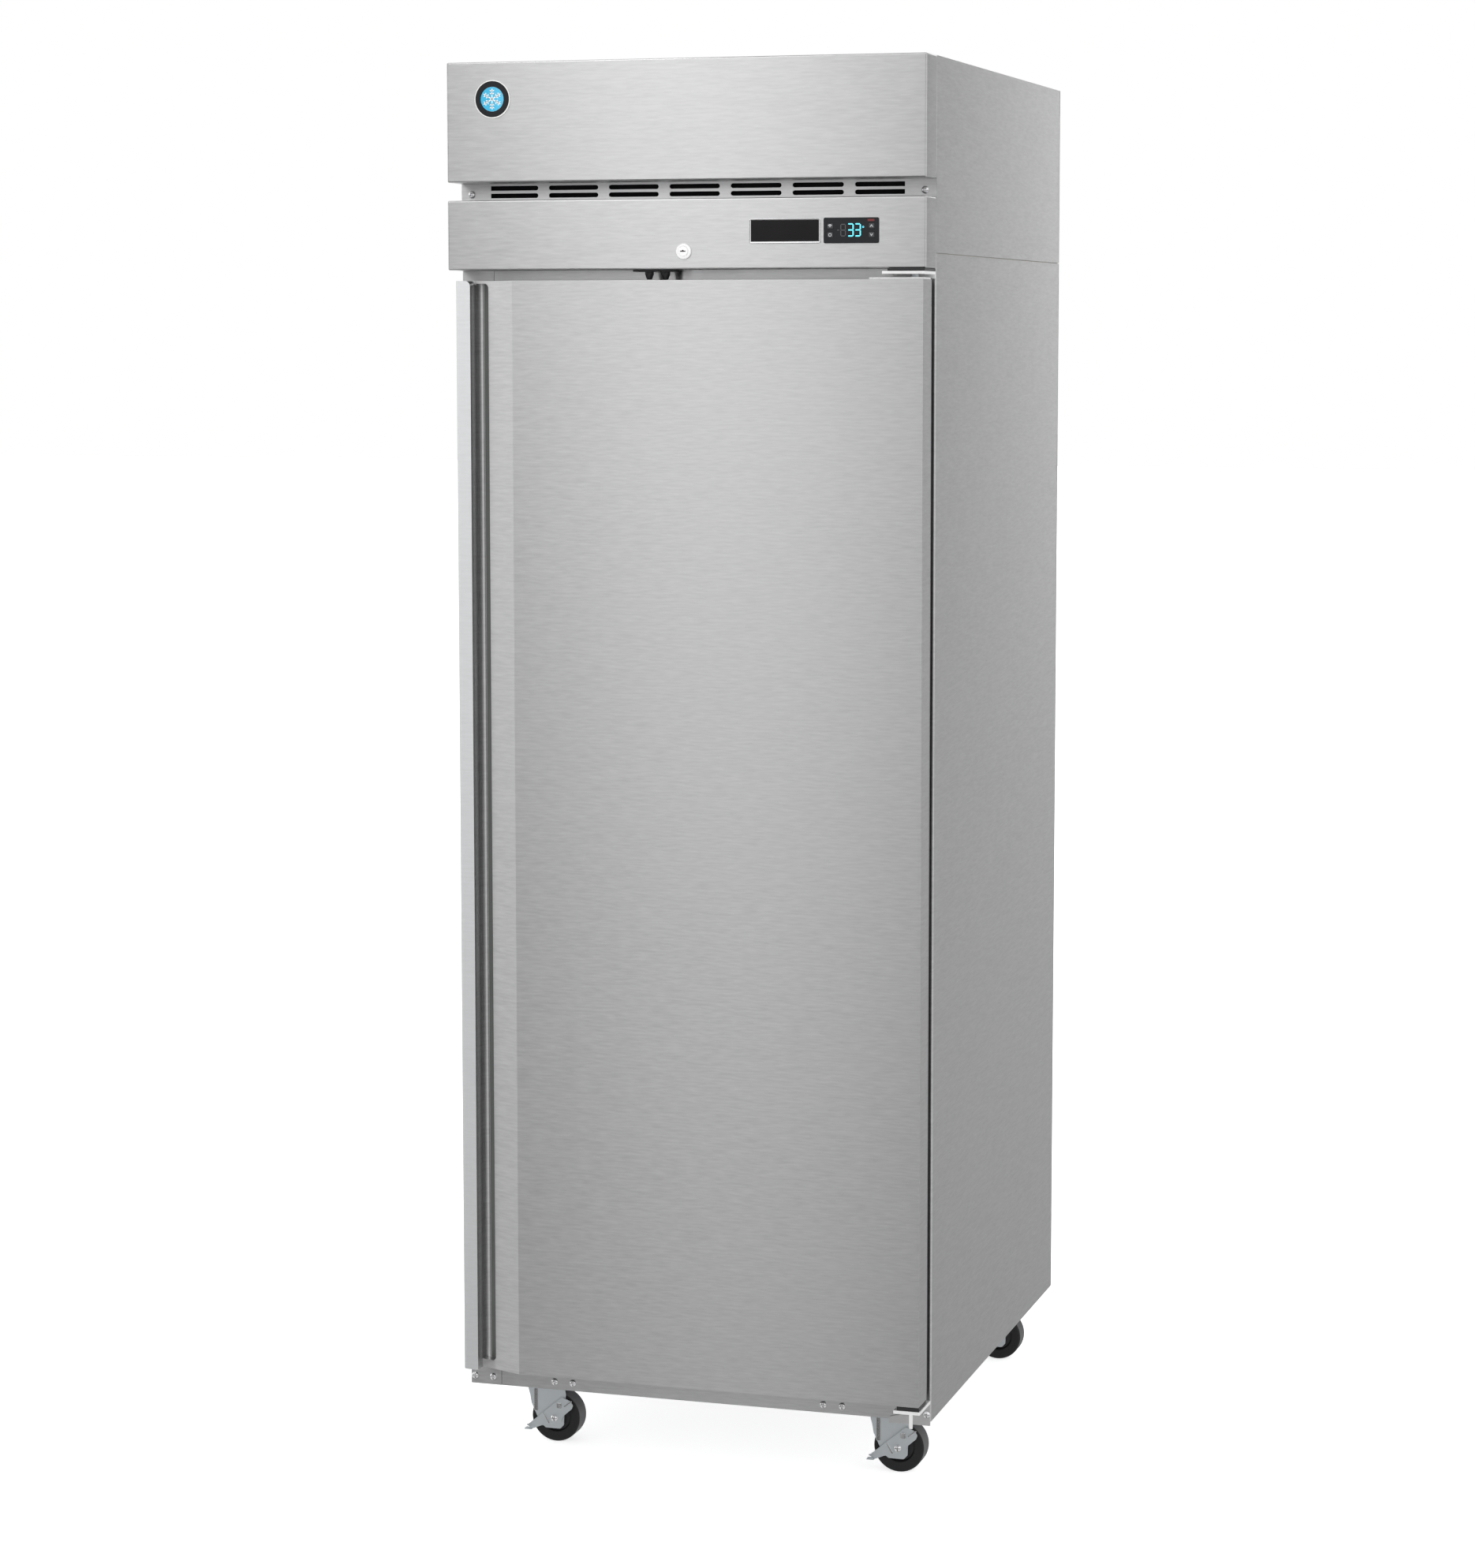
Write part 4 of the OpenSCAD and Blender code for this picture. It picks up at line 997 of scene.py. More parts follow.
def display():
    """The controller: a black bezel with digits, a lamp and four buttons."""
    b = cad("display_housing")
    glass = b.y0
    outline = rounded_rect(b.x0, b.x1, b.z0, b.z1, 2.2, 5)
    made = make("display_bezel", prism(outline, glass, LOWER.y0, "Y"))
    bevel(made, 0.7, 3)
    holes = []
    for name in BUTTONS:
        k = cad("button_" + name)
        holes.append((wider(k.xs, 0.3), (glass - 1, LOWER.y0 + 1), wider(k.zs, 0.3)))
    cut(made, boxes(*holes))
    dress(made, CABINET, GLASS_BLACK, "display_housing")
    piece("display_case", CABINET, BLACK_PLASTIC,
          boxes((wider(b.xs, -3.2), (LOWER.y0 + 1.0, b.y1), wider(b.zs, -3.2))), edge=(1.0, 2))

    lit = (glass - 0.14, glass + 0.1)
    z0 = b.z0 + 8.9
    z1 = b.z0 + 27.0

    def digits(bm):
        for x0 in (b.x0 + 34.0, b.x0 + 44.2):
            add_digit(bm, x0, x0 + 9.2, z0, z1, THREE, lit)
        add_lathe(bm, [(0.7, 0), (1.3, 0), (1.3, 0.15), (0.7, 0.15)],
                  facing_front(b.x0 + 56.6, glass, z1 - 5), 20, closed=True)

    piece("display_digits", CABINET, CYAN_GLOW, digits)

    def ghost(bm):
        add_digit(bm, b.x0 + 24.2, b.x0 + 32.0, z0 + 0.3, z1 - 0.6, EIGHT, lit, 1.3)
        add_box(bm, (b.x0 + 19.6, b.x0 + 22.6), lit, (z0 + 8.4, z0 + 9.4))

    piece("display_unlit_digit", CABINET, UNLIT, ghost)
    piece("display_lamp", CABINET, DIM_RED,
          boxes(((b.x0 + 63, b.x0 + 72.5), lit, (b.z1 - 5.2, b.z1 - 2.2))))

    for name in BUTTONS:
        node = "button_" + name
        k = cad(node)
        body = node + "_body"
        piece(node + "_cap", body, BUTTON, boxes((k.xs, k.ys, k.zs)), node, edge=(0.5, 3))
        sign_y = (k.y0 - 0.12, k.y0 + 0.1)
        piece(node + "_mark", body, MARK, lambda bm: add_mark(bm, name, k.x, k.z, sign_y))


def add_mark(bm, kind, x, z, y):
    """The plain signs on the buttons: a lamp dome, a ring and two arrows."""
    if kind == "defrost":
        add_lathe(bm, [(1.5, 0), (2.4, 0), (2.4, 0.2), (1.5, 0.2)], facing_front(x, y[1], z), 28,
                  closed=True)
        add_prism(bm, disc(x, z, 0.1, 3), *y, "Y")
        return
    if kind == "light":
        add_prism(bm, arc(x, z + 0.2, 2.8, turns(10, math.pi), 2.2), *y, "Y")
        add_box(bm, about(x, 0.9), y, (z - 1.5, z - 0.3))
        return
    s = 1 if kind == "up" else -1
    outline = [(-2.4, -1.4), (0, 2.0), (2.4, -1.4), (1.2, -1.4), (0, 0.4), (-1.2, -1.4)]
    add_prism(bm, [(x + u, z + s * v * 1.1) for u, v in outline], *y, "Y")


def lock():
    """The lock's collar and core, and the bolt that drops into the door."""
    x, _, z = joint_at("lock_turn")
    face = LOWER.y0
    bore = 7.05
    collar = [(bore, -22), (10, -22), (10, 0.02), (11, 0.02)]
    collar += arc(11 - 1.4, 1.6, 1.4, turns(6)) + [(bore, 3.0)]
    piece("lock_collar", CABINET, CHROME, lathe(collar, facing_front(x, face, z), 56, closed=True),
          "lock_housing")
    core = [(0, -26), (7, -26)] + arc(7 - 0.9, 4.0, 0.9, turns(6)) + [(0, 5.0)]
    made = make("lock_core", lathe(core, facing_front(x, face, z), 48))
    cut(made, boxes((about(x, 3.9), (face - 6, face + 2), about(z, 0.75))))
    cut(made, boxes((about(x, 1.2), (face - 6, face + 2), (z + 0.4, z + 1.9))))
    dress(made, "lock_cylinder_body", CHROME, "lock_cylinder")
    piece("lock_keyway", "lock_cylinder_body", BLACK_PLASTIC,
          boxes((about(x, 3.85), (face - 4.2, face + 1.9), about(z, 0.7)),
                (about(x, 1.15), (face - 4.2, face + 1.9), (z + 0.75, z + 1.85))))
    b = cad("lock_bolt")
    piece("lock_bolt_bar", "lock_bolt_body", ZINC, boxes((b.xs, b.ys, b.zs)), "lock_bolt",
          edge=(0.8, 3))


def door_switch():
    """The switch above the door, with two sprung pegs."""
    b = cad("switch_housing")
    made = make("switch_plate", boxes((b.xs, b.ys, (b.z0, LOWER.z0))))
    bevel(made, 0.8, 3)
    pegs = [cad("plunger_left"), cad("plunger_right")]
    peg_r = (pegs[0].x1 - pegs[0].x0) / 2

    def bores(bm):
        for p in pegs:
            add_prism(bm, disc(p.x, p.y, peg_r + 0.05), b.z0 - 2, b.z1 - 2)

    cut(made, bores)
    dress(made, CABINET, BLACK_PLASTIC, "switch_housing")
    made = make("switch_body", boxes((wider(b.xs, -5), wider(b.ys, -5), (LOWER.z0 + 0.05, b.z1))))
    cut(made, bores)
    dress(made, CABINET, BLACK_PLASTIC)
    for side, p in zip(("left", "right"), pegs):
        tip = 4.0
        profile = [(0, p.z0), (tip - 1.2, p.z0), (tip - 0.3, p.z0 + 0.35), (tip + 0.05, p.z0 + 1.3)]
        profile += [(peg_r - 0.2, p.z0 + 6.8), (peg_r, p.z0 + 7.4), (peg_r, p.z1 - 0.5),
                    (peg_r - 0.5, p.z1), (0, p.z1)]
        piece(f"plunger_peg_{side}", f"plunger_{side}_body", BLACK_PLASTIC,
              lathe(profile, upright(p.x, p.y, 0), 40), "plunger_" + side)


# ---- inside the cold cabinet ----

STANDARD_W = 20
SHELVES = ("shelf_lower", "shelf_middle", "shelf_upper")


def shelves():
    """Epoxy-coated wire shelves: a rod frame with round wires across it."""
    rod_r, wire_r, pitch, corner = 3.5, 1.8, 27, 14
    for name in SHELVES:
        b = cad(name)
        z = b.z0 + rod_r
        reach = b.x1 - rod_r
        y0 = b.y0 + rod_r
        y1 = b.y1 - rod_r

        def build(bm, z=z, reach=reach, y0=y0, y1=y1):
            loop = [(x, y, z) for x, y in rounded_rect(-reach, reach, y0, y1, corner, 6)]
            add_tube(bm, loop + loop[:1], rod_r, 12)
            for share in (0.3, 0.7):
                y = y0 + (y1 - y0) * share
                add_tube(bm, [(-reach, y, z), (reach, y, z)], rod_r * 0.85, 12)
            count = int(2 * (reach - 10) / pitch)
            for i in range(count + 1):
                x = (i - count / 2) * pitch
                add_tube(bm, [(x, y0 - 1, z + rod_r), (x, y1 + 1, z + rod_r)], wire_r, 10)

        piece(name + "_wires", CABINET, WHITE_WIRE, build, name)


def shelf_standards():
    """Slotted standards on the liner's sides, with a clip under each corner of each shelf."""
    b = cad("shelf_supports")
    standard_t, slot_pitch = 8, 25
    inner = b.x1 - standard_t + 0.1
    shelf_tops = [cad(n).z0 for n in SHELVES]
    ys = (b.y0 + STANDARD_W / 2, b.y1 - STANDARD_W / 2)

    def strips(bm):
        for s in (-1, 1):
            for y in ys:
                x = sorted((s * inner, s * b.x1))
                add_box(bm, x, about(y, STANDARD_W / 2), b.zs)

    def slots(bm):
        count = int((b.z1 - b.z0 - 30) / slot_pitch)
        for s in (-1, 1):
            x = sorted((s * (inner - 1), s * (b.x1 - 1.2)))
            for y in ys:
                for i in range(count + 1):
                    z = b.z0 + 15 + i * slot_pitch
                    add_box(bm, x, about(y, 5), (z, z + 4))

    made = bevel(make("slotted_standards", strips), 1.2, 3)
    dress(cut(made, slots), CABINET, GALVANISED, "shelf_supports")

    def clips(bm):
        for s in (-1, 1):
            for y in ys:
                for top in shelf_tops:
                    z = top - 0.2
                    outline = [(0, 6), (-2, 6), (-2, 0), (-12, 0), (-12, -2), (-3, -2), (-2, -12), (0, -12)]
                    line = [(s * (inner - 0.2 + u), z + v) for u, v in outline]
                    add_prism(bm, line, y - 8, y + 8, "Y")

    piece("shelf_clips", CABINET, ZINC, clips, edge=(0.5, 2), slot="galvanised")


def add_fan(bm, place, radius, depth):
    """An axial fan whose five blades are curved, twisted and rounded at the tips."""
    hub = radius * 0.28
    blades = 5
    cap = [(0, 0), (hub - 1.5, 0), (hub, 1.5), (hub, depth - 4), (hub - 1.2, depth - 1.2),
           (hub - 4, depth), (0, depth)]
    add_lathe(bm, cap, place, 40)
    radial, chordal, thick = 7, 8, 1.6
    for k in range(blades):
        start = 2 * math.pi * k / blades
        layers = []
        for side in (-1, 1):
            grid = []
            for i in range(radial + 1):
                share = i / radial
                r = (hub - 1) + (radius - hub + 1) * share
                width = 0.36 + 0.30 * math.sin(math.pi * min(1, share * 0.75 + 0.2))
                pitch = depth * (0.80 - 0.30 * share)
                row = []
                for j in range(chordal + 1):
                    c = j / chordal - 0.5
                    tip = 1 - 0.10 * (2 * c) ** 4 * share
                    a = start + 2 * c * width + 0.35 * share
                    camber = 2.2 * (1 - (2 * c) ** 2) * (0.3 + 0.7 * share)
                    h = depth / 2 + c * pitch + camber + side * thick / 2
                    point = Vector((r * tip * math.cos(a), r * tip * math.sin(a), h))
                    row.append(bm.verts.new(place @ point))
                grid.append(row)
            layers.append(grid)
        for low, high in zip(layers[0], layers[0][1:]):
            for j in range(chordal):
                bm.faces.new((low[j], low[j + 1], high[j + 1], high[j]))
        for low, high in zip(layers[1], layers[1][1:]):
            for j in range(chordal):
                bm.faces.new((low[j], high[j], high[j + 1], low[j + 1]))
        edges = []
        for grid in layers:
            first = grid[0]
            last = grid[-1]
            left = [row[0] for row in grid]
            right = [row[-1] for row in grid]
            edges.append(first + right[1:] + last[-2::-1] + left[-2:0:-1])
        face_loop(bm, edges)


def evaporator():
    """The evaporator's cover, coil and fan under the ceiling, and the lamp beside it."""
    b = cad("evaporator_housing")
    coil = cad("evaporator_coil")
    lamp = cad("interior_lamp")
    fan_x, fan_y, _ = joint_at("evaporator_fan_spin")
    fan_box = cad("evaporator_fan")
    fan_r = (fan_box.x1 - fan_box.x0) / 2

    made = make("evaporator_cover", boxes((b.xs, b.ys, (b.z0, b.z1 + 20))))
    bevel(made, 4, 4)
    cut(made, boxes((wider(b.xs, 1), wider(b.ys, 1), (b.z1, b.z1 + 40))))
    cut(made, boxes((wider(b.xs, -SHEET), wider(b.ys, -SHEET), (b.z0 + SHEET, b.z1 + 10))))
    cut(made, prism(disc(fan_x, fan_y, fan_r + 5, 64), b.z0 - 2, b.z0 + 5))

    def outlets(bm):
        for i in range(-5, 6):
            for row in (0, 1):
                outline = slot_outline(i * 44 - 16, i * 44 + 16, b.y1 - 58 + row * 22, b.y1 - 48 + row * 22)
                add_prism(bm, outline, b.z0 - 2, b.z0 + 5)

    cut(made, outlets)
    dress(made, CABINET, LINER_STEEL, "evaporator_housing")

    def guard(bm):
        z = b.z0 - 2.2
        for k in range(1, 7):
            ring = arc(fan_x, fan_y, (fan_r + 4) * k / 6, turns(40, WHOLE))
            add_tube(bm, [(*point, z) for point in ring], 1.1, 8)
        for k in range(4):
            a = math.pi / 4 + math.pi / 2 * k
            u = Vector((math.cos(a), math.sin(a), 0)) * (fan_r + 10)
            middle = Vector((fan_x, fan_y, z + 1.1))
            add_tube(bm, [middle + u * 0.12, middle + u], 1.3, 8)

    piece("evaporator_fan_guard", CABINET, WHITE_WIRE, guard)

    def fins(bm):
        pitch = 5
        count = int((coil.x1 - coil.x0 - 30) / pitch)
        for i in range(count + 1):
            x = coil.x0 + 15 + i * pitch
            add_box(bm, about(x, 0.2), coil.ys, coil.zs)

    piece("evaporator_fins", CABINET, FINS, fins, "evaporator_coil")

    def tubes(bm):
        add_serpentine(bm, wider(coil.xs, -8), (coil.y0 + 30, coil.y0 + 90, coil.y0 + 150),
                       wider(coil.zs, -20), 5)

    piece("evaporator_tubes", CABINET, COPPER, tubes)

    motor = cad("evaporator_fan_motor")
    arm_z = (motor.z1 - 4, motor.z1)
    body = [(0, motor.z0 + 28), (20, motor.z0 + 28), (26, motor.z0 + 32), (28, motor.z0 + 36)]
    body += [(28, motor.z1 - 10), (25, motor.z1 - 4.5), (0, motor.z1 - 4.5)]

    def motor_body(bm):
        add_lathe(bm, body, upright(fan_x, fan_y, 0), 40)
        add_lathe(bm, [(0, motor.z0), (3, motor.z0), (3, motor.z0 + 28.5), (0, motor.z0 + 28.5)],
                  upright(fan_x, fan_y, 0), 20)
        add_box(bm, motor.xs, about(fan_y, 8), arm_z)

    piece("evaporator_motor", CABINET, MOTOR_METAL, motor_body, "evaporator_fan_motor")
    place = upright(fan_x, fan_y, fan_box.z0)
    piece("evaporator_fan_blades", "evaporator_fan_body", FAN_PLASTIC,
          lambda bm: add_fan(bm, place, fan_r, fan_box.z1 - fan_box.z0), "evaporator_fan")

    base_z = lamp.z1 - 8
    piece("lamp_base", CABINET, WHITE_PLASTIC, boxes((lamp.xs, lamp.ys, (base_z, lamp.z1))),
          "interior_lamp", edge=(2, 3), slot="lamp_plastic")
    piece("lamp_diffuser", CABINET, LAMP_PLASTIC,
          boxes((wider(lamp.xs, -10), wider(lamp.ys, -6), (lamp.z0, base_z))), edge=(4, 4))


def add_bend(bm, end, reach, y, middle, half, r, steps):
    """A return bend from the end of one tube along X to the end of the tube above it."""
    line = arc(end, middle, reach, [math.pi * (i / steps - 0.5) for i in range(steps + 1)], half)
    add_tube(bm, [(x, y, z) for x, z in line], r, 12)


def add_serpentine(bm, x, ys, zs, r):
    """Straight tubes along X, joined in pairs by return bends."""
    for y in ys:
        for z in zs:
            add_tube(bm, [(x[0], y, z), (x[1], y, z)], r, 12)
        half = (zs[1] - zs[0]) / 2
        middle = (zs[0] + zs[1]) / 2
        bend = min(half, 12)
        for end, s in ((x[1], 1), (x[0], -1)):
            add_bend(bm, end, s * bend, y, middle, half, r, 10)


# ---- machine compartment ----


POT = cad("compressor")
POT_BASE = (POT.x0, POT.x0 + 190)
POT_X = sum(POT_BASE) / 2
COIL = cad("condenser_coil")
COIL_X = (COIL.x0 + 4, COIL.x1)
DECK_Z = POT.z0


def compressor():
    """The compressor's pot on its base, with rubber feet and a terminal box."""
    pot_r = 78
    pot_z = DECK_Z + 20
    low_r = 28
    profile = [(0, pot_z), (pot_r - 30, pot_z)]
    profile += [(pot_r - low_r + low_r * math.sin(a), pot_z + low_r - low_r * math.cos(a))
                for a in turns(8)]
    profile += [(pot_r, pot_z + 88), (pot_r + 2.6, pot_z + 90), (pot_r + 2.6, pot_z + 96),
                (pot_r, pot_z + 98)]
    profile += arc(0, pot_z + 125, pot_r, turns(8)[:-1], 60) + [(0, pot_z + 185)]
    piece("compressor_pot", CABINET, ENAMEL, lathe(profile, upright(POT_X, POT.y, 0), 64), "compressor")
    base = rounded_rect(*POT_BASE, POT.y - 70, POT.y + 70, 22, 6)
    piece("compressor_base", CABINET, ENAMEL, prism(base, pot_z - 4, pot_z), edge=(1, 2))

    feet = [(x, y) for x in (POT_X - 80, POT_X + 80) for y in (POT.y - 55, POT.y + 55)]

    def grommets(bm):
        ring = [(0, DECK_Z), (13, DECK_Z), (13, DECK_Z + 5), (9, DECK_Z + 7), (12, DECK_Z + 9),
                (12, pot_z - 4.1),
                (0, pot_z - 4.1)]
        for x, y in feet:
            add_lathe(bm, ring, upright(x, y, 0), 28)

    piece("compressor_grommets", CABINET, RUBBER, grommets)

    def bolts(bm):
        for x, y in feet:
            add_lathe(bm, [(7, 0), (7, 4), (0, 4)], upright(x, y, pot_z), 6)
            add_lathe(bm, [(3, 3.9), (3, 9), (0, 9.5)], upright(x, y, pot_z), 16)

    piece("compressor_bolts", CABINET, ZINC, bolts, slot="black_enamel")
    piece("compressor_terminal_box", CABINET, BLACK_PLASTIC,
          boxes(((POT.x1 - 34, POT.x1), (POT.y - 30, POT.y + 30), (pot_z + 50, pot_z + 120))),
          edge=(4, 4), slot="black_enamel")


def condenser():
    """The condenser's fins and tubes, and its fan in a shroud."""
    shroud = cad("condenser_shroud")
    motor = cad("condenser_fan_motor")
    fan_x, _, fan_z = joint_at("condenser_fan_spin")
    fan_box = cad("condenser_fan")
    fan_r = (fan_box.x1 - fan_box.x0) / 2
    coil_top = COIL.z1
    x0, x1 = COIL_X

    def fins(bm):
        pitch = 3.2
        count = int((x1 - x0 - 16) / pitch)
        for i in range(count + 1):
            x = x0 + 8 + i * pitch
            add_box(bm, about(x, 0.15), COIL.ys, (DECK_Z + 6, coil_top - 1))

    piece("condenser_fins", CABINET, FINS, fins, "condenser_coil")

    def frame_sheets(bm):
        for x in (x0 - 2, x1 - 2):
            add_box(bm, (x, x + 1.5), COIL.ys, (DECK_Z, coil_top))
        add_box(bm, (x0 - 2, x1), COIL.ys, (coil_top - 1, coil_top))

    piece("condenser_end_sheets", CABINET, GALVANISED, frame_sheets, edge=(0.3, 1))

    def tubes(bm):
        rows = [DECK_Z + 28 + 36 * i for i in range(6)]
        for y in wider(COIL.ys, -12):
            for z in rows:
                add_tube(bm, [(x0 - 4, y, z), (x1, y, z)], 4, 12)
            for k, (low, high) in enumerate(zip(rows, rows[1:])):
                end, s = ((x1, 1), (x0 - 4, -1))[k % 2]
                reach = 3 if s > 0 else 8
                add_bend(bm, end, s * reach, y, (low + high) / 2, (high - low) / 2, 3.6, 8)

    piece("condenser_tubes", CABINET, COPPER, tubes)

    hood = make("condenser_fan_shroud", boxes((shroud.xs, (shroud.y0 - 20, shroud.y1),
                                               shroud.zs)))
    bevel(hood, 5, 4)
    cut(hood, boxes((wider(shroud.xs, 1), (shroud.y0 - 30, shroud.y0), wider(shroud.zs, 1))))
    cut(hood, boxes((wider(shroud.xs, -SHEET), (shroud.y0 - 1, shroud.y1 - SHEET),
                     wider(shroud.zs, -SHEET))))
    cut(hood, prism(disc(fan_x, fan_z, fan_r + 5, 64), shroud.y1 - 10, shroud.y1 + 5, "Y"))
    dress(hood, CABINET, GALVANISED, "condenser_shroud")

    depth = 54
    shaft = 30
    body = [(0, 0), (3, 0), (3, shaft), (16, shaft), (28, shaft + 3), (34, shaft + 8),
            (34, shaft + depth - 8)]
    body += [(28, shaft + depth - 3), (0, shaft + depth)]
    place = facing_back(fan_x, motor.y0, fan_z)
    piece("condenser_motor", CABINET, MOTOR_METAL, lathe(body, place, 48), "condenser_fan_motor")
    stand_y = motor.y1 - 22

    def stand(bm):
        for s in (-1, 1):
            add_box(bm, about(fan_x + s * 30, 6), (stand_y, stand_y + 3), (DECK_Z, fan_z))
        add_box(bm, about(fan_x, 60), (stand_y, motor.y1), (DECK_Z, DECK_Z + 3))

    piece("condenser_motor_stand", CABINET, GALVANISED, stand, edge=(0.6, 2), slot="motor_metal")
    height = fan_box.y1 - fan_box.y0
    place = facing_back(fan_x, fan_box.y0, fan_z)
    piece("condenser_fan_blades", "condenser_fan_body", FAN_PLASTIC,
          lambda bm: add_fan(bm, place, fan_r, height), "condenser_fan")


def copper_lines():
    """The refrigerant's pipes, by their corner points, and the suction pipe's sleeve."""
    x0, x1 = COIL_X
    lines = cad("refrigerant_lines")
    line_y = lines.y1 - 5
    line_x = (-60, -30)
    top = lines.z1 - 5
    suction = [(line_x[1], line_y, lines.z0), (line_x[1], line_y, top), (POT_X, line_y, top),
               (POT_X, POT.y + 66, top)]
    liquid = [(line_x[0], line_y, lines.z0 + 20), (line_x[0], line_y, top - 30), (-240, line_y, top - 30),
              (-240, COIL.y0 + 22, top - 30), (x0 - 6, COIL.y0 + 22, top - 30)]
    discharge = [(POT_X, POT.y - 66, top), (POT_X, 300, top), (190, 300, top), (190, COIL.y0 + 22, top),
                 (x1 + 1, COIL.y0 + 22, top)]

    def pipes(bm):
        add_tube(bm, fillet(suction, 22, 7), 5, 16)
        add_tube(bm, fillet(liquid, 18, 7), 3, 14)
        add_tube(bm, fillet(discharge, 20, 7), 4, 14)

    piece("copper_lines", CABINET, COPPER, pipes, "refrigerant_lines")

    sleeve = [(line_x[1], line_y, DECK_Z + 6), (line_x[1], line_y, top - 40)]
    piece("suction_line_sleeve", CABINET, RUBBER, lambda bm: add_tube(bm, sleeve, 10, 20))


def condensate_tray():
    """The tray that takes the melt water, open at the top."""
    pan = cad("condensate_pan")
    made = make("condensate_tray", boxes((pan.xs, pan.ys, (pan.z0, pan.z1 + 20))))
    bevel(made, 5, 4)
    cut(made, boxes((wider(pan.xs, 1), wider(pan.ys, 1), (pan.z1, pan.z1 + 40))))
    inside = make("inside", boxes((wider(pan.xs, -2), wider(pan.ys, -2), (pan.z0 + 2, pan.z1 + 30))))
    cut_with(made, bevel(inside, 3.5, 4))
    dress(made, CABINET, WHITE_PLASTIC, "condensate_pan")


def cord_bushing():
    """The bush that the mains cord would leave by."""
    gland = cad("cord_gland")
    hole = 5.5
    rise = gland.y1 - gland.y0
    ring = [(hole, 0), (10, 0), (13, 2), (13, 8), (10, 8.2), (10, rise - 2), (13, rise - 2),
            (13, rise - 1.2),
            (11.5, rise), (hole + 0.8, rise), (hole, rise - 0.8)]
    piece("cord_bushing", CABINET, BLACK_PLASTIC,
          lathe(ring, facing_back(gland.x, gland.y0, gland.z), 48, closed=True), "cord_gland")


# ---- casters ----

# Outlines of a fork's cheek and of a brake's plate in XZ: x from the swivel's axis, z from the ground.
CHEEK = [(-22, 83), (-18, 69), (-16, 57), (-7, 37.6), (0, 26), (6.6, 20.8), (29.3, 20.8), (34.9, 27),
         (36, 55),
         (38, 72), (36, 83)]
LEVER = [(-24, 24), (-20, 25), (2, 43.5), (33, 69.5), (46, 64), (50, 58), (48, 52.5), (35, 41), (31, 31),
         (20, 26.5), (1, 24.5), (-13, 18.5)]


def smooth_outline(points, radius):
    """A closed outline with its corners rounded."""
    line = fillet([points[-1]] + points + [points[0]], radius, 4)
    return [(p.x, p.y) for p in line[1:-1]]


def casters():
    """The four swivel casters, of which the front two have brakes."""
    plates = cad("caster_plates")
    plate_z = (plates.z1 - 2.9, plates.z1)
    corners = [f"{end}_{side}" for end in ("front", "rear") for side in ("left", "right")]
    swivels = {c: joint_at("swivel_" + c) for c in corners}

    def top_plates(bm):
        for x, y, _ in swivels.values():
            outline = rounded_rect(x - 48, x + 48, y - 38, y + 38, 6)
            add_prism(bm, outline, *plate_z)

    piece("caster_top_plates", CABINET, ZINC, top_plates, "caster_plates", edge=(0.5, 2))

    def kingpins(bm):
        for x, y, _ in swivels.values():
            add_lathe(bm, [(0, plates.z0), (6, plates.z0), (6, plate_z[0])], upright(x, y, 0), 32)
            for dx, dy in ((-36, -28), (36, -28), (-36, 28), (36, 28)):
                add_lathe(bm, [(0, plate_z[0] - 3.4), (5.4, plate_z[0] - 3.4), (5.4, plate_z[0])],
                          upright(x + dx, y + dy, 0), 6)

    piece("caster_kingpins_and_bolts", CABINET, ZINC, kingpins)

    for corner in corners:
        caster(corner, swivels[corner])
    for side in ("left", "right"):
        brake(side)


